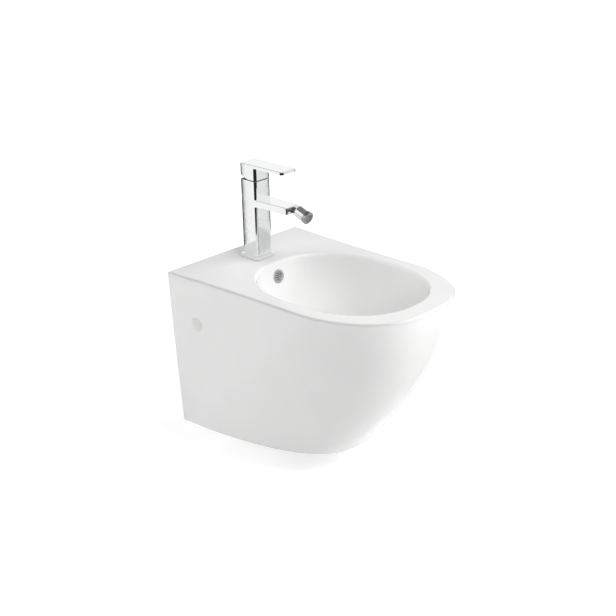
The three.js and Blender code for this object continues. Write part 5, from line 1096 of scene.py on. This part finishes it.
housing = turn_piece("nozzle_barrel", ball_arc(LIP_RADIUS, 66, 84, 6) + [
    (10.4, -0.92, 0), (10.4, 22.7, 0), (11.5, 22.7, 0.2), (11.5, 18.2, 0), (12, 18.2, 0.2),
    (12, -1.98, 0.8), (10.6, -3.58, 0.5)])
hand_over(place(housing, NOZZLE_TURN, BALL_PLACE), "nozzle_housing", "chrome")

collar = turn_piece("nozzle_end_collar", [
    (11.8, 18.5, 0), (12.8, 18.5, 0.3), (12.8, 26, 0.9), (8, 26, 0.3), (8, 24.8, 0), (11.8, 24.8, 0)])
hand_over(place(collar, NOZZLE_TURN, BALL_PLACE), "nozzle_collar", "chrome", finish=satin_nickel)


def make_aerator():
    """A plastic insert with a ring of jets."""
    insert = turn_piece("jet_insert", [(0, 19.5, 0), (9.4, 19.5, 0.3), (9.4, 24.5, 0.4), (0, 24.5, 0)], 64)
    for spot in spots_round(JETS, JET_RING_RADIUS, 0):
        cut(insert, plunge("jet", JET_RADIUS, JET_LOW, JET_TOP, spot, 24))
    return place(join_flats(insert), NOZZLE_TURN, BALL_PLACE)


hand_over(make_aerator(), "nozzle_aerator", "grey_plastic")

# %% [markdown]
# The overflow is a thin satin plated bead pushed into the bowl's rear wall, with a small grille set back
# in it. The grille is a disc with four slots. It is plated too, but only matt, so that its bars show
# light against the dark behind them, where the sleeve in the duct is painted dark as shade. A cover over
# each side screw is a low dome with a short plug.

# %% Overflow and side covers
SLOT_MIDDLES = (-5.85, -1.95, 1.95, 5.85)
SLOT_HALF, SLOT_FIELD_RADIUS, SLOT_LOW = 1.2, 8, -3
matt_plate = make_finish("matt_plated_plastic", (0.84, 0.85, 0.86), 0.85, 0.3,
                         gloss=(600, 3, 0.24, 0.38), grain=(1500, 2, 0.02, 0.3))
satin_plate = make_finish("satin_plate", (0.56, 0.565, 0.57), 1, 0.2, gloss=(300, 4, 0.14, 0.26))

bead = turn_piece("overflow_bead", [
    (9, -8, 0.2), (10.2, -8, 0.3), (10.2, 0.3, 0), (14, 0.3, 0.2), (14, 1.2, 0.3), (12.5, 2.4, 1.2),
    (10.5, 2.4, 1.2), (9, 1.2, 0.4)])
hand_over(at_overflow(bead), "overflow_ring", "chrome", finish=satin_plate)


def make_grille():
    grille = turn_piece("overflow_grille_disc", [
        (0, -2.4, 0), (8.7, -2.4, 0.1), (8.7, -1, 0.3), (0, -1, 0)], 64)
    for middle in SLOT_MIDDLES:
        half = math.sqrt(SLOT_FIELD_RADIUS ** 2 - (abs(middle) + SLOT_HALF) ** 2)
        cut(grille, cube("slot", (-half, half), (middle - SLOT_HALF, middle + SLOT_HALF), (SLOT_LOW, 0)))
    return at_overflow(join_flats(grille))


hand_over(make_grille(), "overflow_grille", "dark_plastic", finish=matt_plate)

side_cover = on_side(turn_piece("side_cover_right", [
    (0, -0.9, 0), (4.8, -0.9, 0), (4.8, -5.9, 0.2), (6.2, -5.9, 0.2), (6.2, -0.9, 0), (14, -0.9, 0.2),
    (14, 0.4, 0.4), (13.4, 1, 1.2), (7, 1.6, 6), (0, 1.6, 0)]), 1)
left_cover = mirrored_copy(side_cover, "side_cover_left")
hand_over(side_cover, "side_cap_right", "white_plastic")
hand_over(left_cover, "side_cap_left", "white_plastic")

# %% [markdown]
# The waste stands on its flange in the bowl's floor. It is a turned tube with four openings for the
# overflow water and a cross inside that guides the plug. The plug's cap is a low polished dome.

# %% Waste and plug
WASTE_PLACE = Vector((0, -DRAIN_SETBACK, FLOOR_LEVEL)) * MM
GUIDE_REACH, GUIDE_HALF, GUIDE_LOW, GUIDE_TOP = 19, 2.5, -37, -31
GUIDE_HUB_RADIUS, GUIDE_BORE_RADIUS, GUIDE_PAST = 8.8, 5.8, 3
INLET_REACH, INLET_HALF, INLET_LOW, INLET_TOP = 30, 6.5, -22, -12


def at_waste(piece):
    return place(piece, shift=WASTE_PLACE)


def crossed_bars(name, reach, half, low, high):
    """Two bars that cross on the axis."""
    return [cube(name, (-x, x), (-y, y), (low, high)) for x, y in ((reach, half), (half, reach))]


def make_waste():
    waste = turn_piece("waste_tube", [
        (17.5, -66, 0.3), (20.5, -66, 0.5), (20.5, -2.8, 0), (32, -2.8, 0.2), (32, -1.4, 0.4),
        (30.6, 0, 1.2), (20, 0, 0.8), (17.5, -5, 1)])
    join(waste, *crossed_bars("guide_bar", GUIDE_REACH, GUIDE_HALF, GUIDE_LOW, GUIDE_TOP))
    join(waste, cylinder("guide_hub", GUIDE_HUB_RADIUS, GUIDE_LOW, GUIDE_TOP))
    cut(waste, cylinder("guide_bore", GUIDE_BORE_RADIUS, GUIDE_LOW - GUIDE_PAST, GUIDE_TOP + GUIDE_PAST))
    cut(waste, *crossed_bars("overflow_inlet", INLET_REACH, INLET_HALF, INLET_LOW, INLET_TOP))
    return at_waste(join_flats(settle(waste)))


hand_over(make_waste(), "waste_body", "chrome")
plug_cap = turn_piece("plug_dome", [(0, 0.3, 0), (26, 0.3, 0.2), (26, 3.1, 1), (13, 4.5, 8), (0, 4.5, 0)])
hand_over(at_waste(plug_cap), "plug_cap", "chrome")

# %% [markdown]
# The bottle trap is moulded from white plastic. Its nuts have twelve flats for the hand, and the cup
# has upright scoops round its collar so that a wet hand can undo it.

# %% Bottle trap
OUTLET_LEVEL = -100
NUT_FLATS, NUT_CORNER, NUT_EDGE = 12, 1.2, 1
SCOOPS, SCOOP_RING_RADIUS, SCOOP_RADIUS, SCOOP_LOW, SCOOP_TOP = 16, 36.6, 4, -142, -124
BOSS_RADIUS, BOSS_START, BOSS_END, OUTLET_RADIUS, INSIDE_RADIUS = 20, 21, 52, 16.3, 27


def grip_nut(name, radius, low, high, lip, thread, thread_low, thread_high):
    nut = cylinder(name, radius, low, high, NUT_FLATS)
    round_edges(nut, upright, NUT_CORNER, 3)
    round_edges(nut, lambda edge: on_level(edge, low) or on_level(edge, high), NUT_EDGE, 3)
    cut(nut, cylinder("lip_bore", lip, low - 1, high + 1, 96))
    cut(nut, cylinder("thread_bore", thread, thread_low, thread_high, 96))
    return join_flats(nut)


def make_trap_body():
    body = turn_piece("trap_bottle", [
        (15.3, -83, 0), (27, -86, 0), (27, -134, 0), (30, -134, 0.4), (30, -83, 2), (23.6, -80, 1),
        (23.6, -61.5, 0.4), (20.8, -61.5, 0.3), (20.8, -72, 0), (15.3, -72, 0.4)])
    join(body, lengthwise(cylinder("outlet_boss", BOSS_RADIUS, BOSS_START, BOSS_END, 96), OUTLET_LEVEL))
    cut(body, cylinder("inside", INSIDE_RADIUS, -134.5, -86, 96))
    cut(body, lengthwise(cylinder("outlet_bore", OUTLET_RADIUS, BOSS_START - 3, BOSS_END + 2, 96),
                         OUTLET_LEVEL))
    return at_waste(join_flats(settle(body)))


def make_trap_cup():
    cup = turn_piece("trap_bottle_cup", [
        (0, -176, 0), (27, -176, 2), (30, -172, 2), (30, -140.6, 0.4), (33.3, -137.6, 1),
        (33.3, -121.5, 0.6), (30.3, -121.5, 0.3),
        (30.3, -137.6, 0), (27, -137.6, 0), (27, -172, 1), (0, -172, 0)])
    for spot in spots_round(SCOOPS, SCOOP_RING_RADIUS, 0.5):
        cut(cup, plunge("scoop", SCOOP_RADIUS, SCOOP_LOW, SCOOP_TOP, spot, 32))
    return at_waste(join_flats(settle(cup)))


inlet_nut = grip_nut("inlet_grip_nut", 27, -75, -54, 20.8, 23.9, -76, -57)
hand_over(at_waste(inlet_nut), "trap_inlet_nut", "white_plastic")
hand_over(make_trap_body(), "trap_body", "white_plastic")
hand_over(make_trap_cup(), "trap_cup", "white_plastic")
outlet_nut = lengthwise(grip_nut("outlet_grip_nut", 24, 43, 62, 16.3, 20.3, 42, 56.6), OUTLET_LEVEL)
hand_over(at_waste(outlet_nut), "trap_outlet_nut", "white_plastic")
outlet_tube = turn_piece("trap_wall_tube", [
    (13.8, 40, 0.2), (16, 40, 0.3), (16, 239.7, 0.6), (13.8, 239.7, 0.3)])
hand_over(at_waste(lengthwise(outlet_tube, OUTLET_LEVEL)), "trap_outlet_tube", "white_plastic")

# %% [markdown]
# The fixings, washers, seals and the parts inside the tap and the trap keep the shape of their nodes,
# which is already right. Each gets a copy whose flat faces are joined and whose outer edges are broken
# by a small bevel, as a file or a mould would leave them. Inner corners stay sharp, so nothing grows.

# %% Fixings, seals and inner parts
SHARP_ANGLE = math.radians(28)
BROKEN_EDGES = {"wall_bracket": 0.6, "wall_nut": 0.5, "wall_stud": 0.5, "waste_backnut": 0.5}
OTHER_BROKEN_EDGE = 0.15
# Painted shade: the cartridge nut takes the dark metal and the overflow sleeve the dark plastic, so that
# the gap under the handle and the slots of the grille read dark.
OWN_FINISHES = {"cartridge_nut": painted_dark_metal, "overflow_sleeve": dark_plastic}


def outer_edge(edge):
    return edge.is_manifold and edge.is_convex and edge.calc_face_angle(0) > SHARP_ANGLE


def fine_copy(node):
    source = frame["nodes"][node]
    piece = bpy.data.objects.new(node + "_piece", source.data.copy())
    bpy.context.scene.collection.objects.link(piece)
    piece.data.transform(source.matrix_world)
    join_flats(settle(piece))
    width = OTHER_BROKEN_EDGE
    for start, wider in BROKEN_EDGES.items():
        if node.startswith(start):
            width = wider
    round_edges(piece, outer_edge, width, 2)
    slot_name = source.material_slots[0].material.name.split(".")[0]
    return hand_over(piece, node, slot_name, finish=OWN_FINISHES.get(node))


finished = {node for piece in bpy.data.objects for node in piece.get("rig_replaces", [])}
print("finished so far:", len(finished))
for node in sorted(frame["nodes"]):
    if node not in finished:
        fine_copy(node)

# %% [markdown]
# The studio is a pale floor under a white room. The bidet hangs 65 mm above the floor, as on a wall. The
# floor adds light of its own only where the camera or a mirror looks at it, so that it reads as white
# and still keeps the soft shadow. Farther out this light rises, until floor and room are one white.

# %% Floor and world
FLOOR_DROP, FLOOR_WIDTH, FLOOR_TONE = -0.304, 14, 0.8
FLOOR_GLOW_NEAR, FLOOR_GLOW_FAR = 0.62, 1.0
GLOW_START, GLOW_END = 0.7, 2.0
ROOM_LIGHT = 0.03


def seen_by_camera_or_mirror(tree, otherwise, seen):
    """A strength for camera, glossy and transmission rays, and another for light that falls on things."""
    path = add_node(tree, "LightPath")
    first, second = add_node(tree, "Math", "MAXIMUM"), add_node(tree, "Math", "MAXIMUM")
    spread = add_node(tree, "MapRange", To_Min=otherwise, To_Max=seen)
    tree.links.new(path.outputs["Is Camera Ray"], first.inputs[0])
    tree.links.new(path.outputs["Is Glossy Ray"], first.inputs[1])
    tree.links.new(first.outputs[0], second.inputs[0])
    tree.links.new(path.outputs["Is Transmission Ray"], second.inputs[1])
    tree.links.new(second.outputs[0], spread.inputs["Value"])
    return spread.outputs["Result"]


def rising_glow(tree):
    """A glow that rises with the distance from the bidet."""
    spot = add_node(tree, "TexCoord")
    length = add_node(tree, "VectorMath", "LENGTH")
    rise = add_node(tree, "MapRange", From_Min=GLOW_START, From_Max=GLOW_END,
                    To_Min=FLOOR_GLOW_NEAR, To_Max=FLOOR_GLOW_FAR)
    rise.interpolation_type = "SMOOTHSTEP"
    tree.links.new(spot.outputs["Object"], length.inputs[0])
    tree.links.new(length.outputs["Value"], rise.inputs["Value"])
    return rise.outputs["Result"]


def glowing_paint(name, tone):
    """A paint of a plain tone that shines by itself, with its output and glow nodes."""
    paint = bpy.data.materials.new(name)
    paint.use_nodes = True
    tree = paint.node_tree
    tree.nodes.clear()
    output = add_node(tree, "OutputMaterial")
    glow = add_node(tree, "Emission", Color=(tone, tone, tone, 1))
    tree.links.new(glow.outputs[0], output.inputs["Surface"])
    return paint, output, glow


def studio_sheet(name, paint, width, length, spot, turn=(0, 0, 0)):
    """A flat sheet of the studio, in metres, turned by degrees."""
    bpy.ops.object.select_all(action="DESELECT")
    bpy.ops.mesh.primitive_plane_add(size=1)
    sheet = bpy.context.active_object
    sheet.name = name
    sheet.scale = (width, length, 1)
    place(sheet, turn, spot)
    sheet.data.materials.append(paint)
    return sheet


def make_floor():
    paint, output, glow = glowing_paint("floor_paint", 1)
    tree = paint.node_tree
    matt = add_node(tree, "BsdfDiffuse", Color=(FLOOR_TONE, FLOOR_TONE, FLOOR_TONE, 1))
    both = add_node(tree, "AddShader")
    tree.links.new(matt.outputs[0], both.inputs[0])
    tree.links.new(glow.outputs[0], both.inputs[1])
    tree.links.new(both.outputs[0], output.inputs["Surface"])
    seen = add_node(tree, "Math", "MULTIPLY")
    tree.links.new(seen_by_camera_or_mirror(tree, 0, 1), seen.inputs[0])
    tree.links.new(rising_glow(tree), seen.inputs[1])
    tree.links.new(seen.outputs[0], glow.inputs["Strength"])
    return studio_sheet("studio_floor", paint, FLOOR_WIDTH, FLOOR_WIDTH, (0, 0, FLOOR_DROP))


def make_world():
    world = bpy.data.worlds.new("studio_world")
    bpy.context.scene.world = world
    world.use_nodes = True
    room = world.node_tree.nodes["Background"]
    room.inputs["Color"].default_value = (1, 1, 1, 1)
    strength = seen_by_camera_or_mirror(world.node_tree, ROOM_LIGHT, 1)
    world.node_tree.links.new(strength, room.inputs["Strength"])


make_floor()
make_world()

# %% [markdown]
# Polished chrome shows only what stands round it, so a photographer puts cards round a tap. Black ones
# draw its edges as dark lines, and pale or grey ones give its faces tone. Here they stand about a metre
# away and only reflections show them: they throw no shadow and take no light from the ceramic.

# %% Cards for the chrome
CARD_CENTRE, CARD_LEVEL, CARD_HEIGHT = Vector((0, -0.1, 0)), -0.1, 0.4
BLACK, GREY, PALE, WHITE = 0.02, 0.2, 0.85, 1.0
CARDS = {
    "card_at_camera": (-46, 1.0, 1.05, BLACK),
    "card_at_left": (-100, 1.0, 1.06, BLACK),
    "card_at_front": (8, 1.0, 1.02, BLACK),
    "card_at_back": (174, 1.0, 1.5, BLACK),
    "card_at_right": (96, 1.0, 1.6, BLACK),
    "card_at_right_front": (40, 1.05, 0.194, PALE),
    "card_at_right_edge": (52, 1.06, 0.298, BLACK),
    "card_at_left_back": (-131.95, 1.05, 0.23, WHITE),
    "card_at_left_edge": (-145.5, 1.06, 0.28, BLACK),
}
OVERHEAD_WIDTH, OVERHEAD_LENGTH, OVERHEAD_SPOT = 2.6, 2.4, (0.1, 0.4, 1.4)


def add_card(name, tone, width, length, spot, turn=(0, 0, 0)):
    """A card of a plain tone that only reflections show."""
    card = studio_sheet(name, glowing_paint(name + "_paint", tone)[0], width, length, spot, turn)
    card.visible_camera = card.visible_diffuse = card.visible_shadow = card.visible_transmission = False


for name, (direction, distance, width, tone) in CARDS.items():
    angle = math.radians(direction)
    spot = CARD_CENTRE + Vector((math.sin(angle) * distance, -math.cos(angle) * distance, CARD_LEVEL))
    add_card(name, tone, width, CARD_HEIGHT, spot, (90, 0, direction))
add_card("card_overhead", GREY, OVERHEAD_WIDTH, OVERHEAD_LENGTH, OVERHEAD_SPOT)

# %% [markdown]
# Six large soft lamps stand three metres away. Their strengths were worked out from renders with one lamp
# at a time, set against the photograph, and then adjusted. The strongest stands high in front, the low
# one behind on the left lights the near side, and one at the right front lights the right side. The other
# three only fill in.

# %% Lamps
LAMP_DISTANCE, LAMP_SIZE = 3, 1.5
LAMP_AIM = Vector((0, -0.25, 0))
LAMPS = {
    "front_lamp": (0, 48, 61),
    "rear_lamp": (180, 48, 10),
    "left_front_lamp": (-60, 30, 11),
    "low_left_rear_lamp": (-135, 14, 46),
    "right_front_lamp": (60, 30, 35),
    "low_right_front_lamp": (20, 4, 12),
}


def add_lamp(name, direction, elevation, power):
    """A square lamp aimed at the bidet, from a direction and elevation in degrees."""
    turn, rise = math.radians(direction), math.radians(elevation)
    away = Vector((math.cos(rise) * math.sin(turn), -math.cos(rise) * math.cos(turn), math.sin(rise)))
    data = bpy.data.lights.new(name, "AREA")
    data.shape = "SQUARE"
    data.size = LAMP_SIZE
    data.energy = power
    lamp = bpy.data.objects.new(name, data)
    lamp.location = LAMP_AIM + away * LAMP_DISTANCE
    lamp.rotation_euler = (-away).to_track_quat("-Z", "Y").to_euler()
    lamp.visible_glossy = False
    lamp.visible_camera = False
    bpy.context.scene.collection.objects.link(lamp)
    return lamp


for name, (direction, elevation, power) in LAMPS.items():
    add_lamp(name, direction, elevation, power)
print("lamps:", ", ".join(LAMPS))

bpy.context.scene.view_settings.view_transform = "Standard"
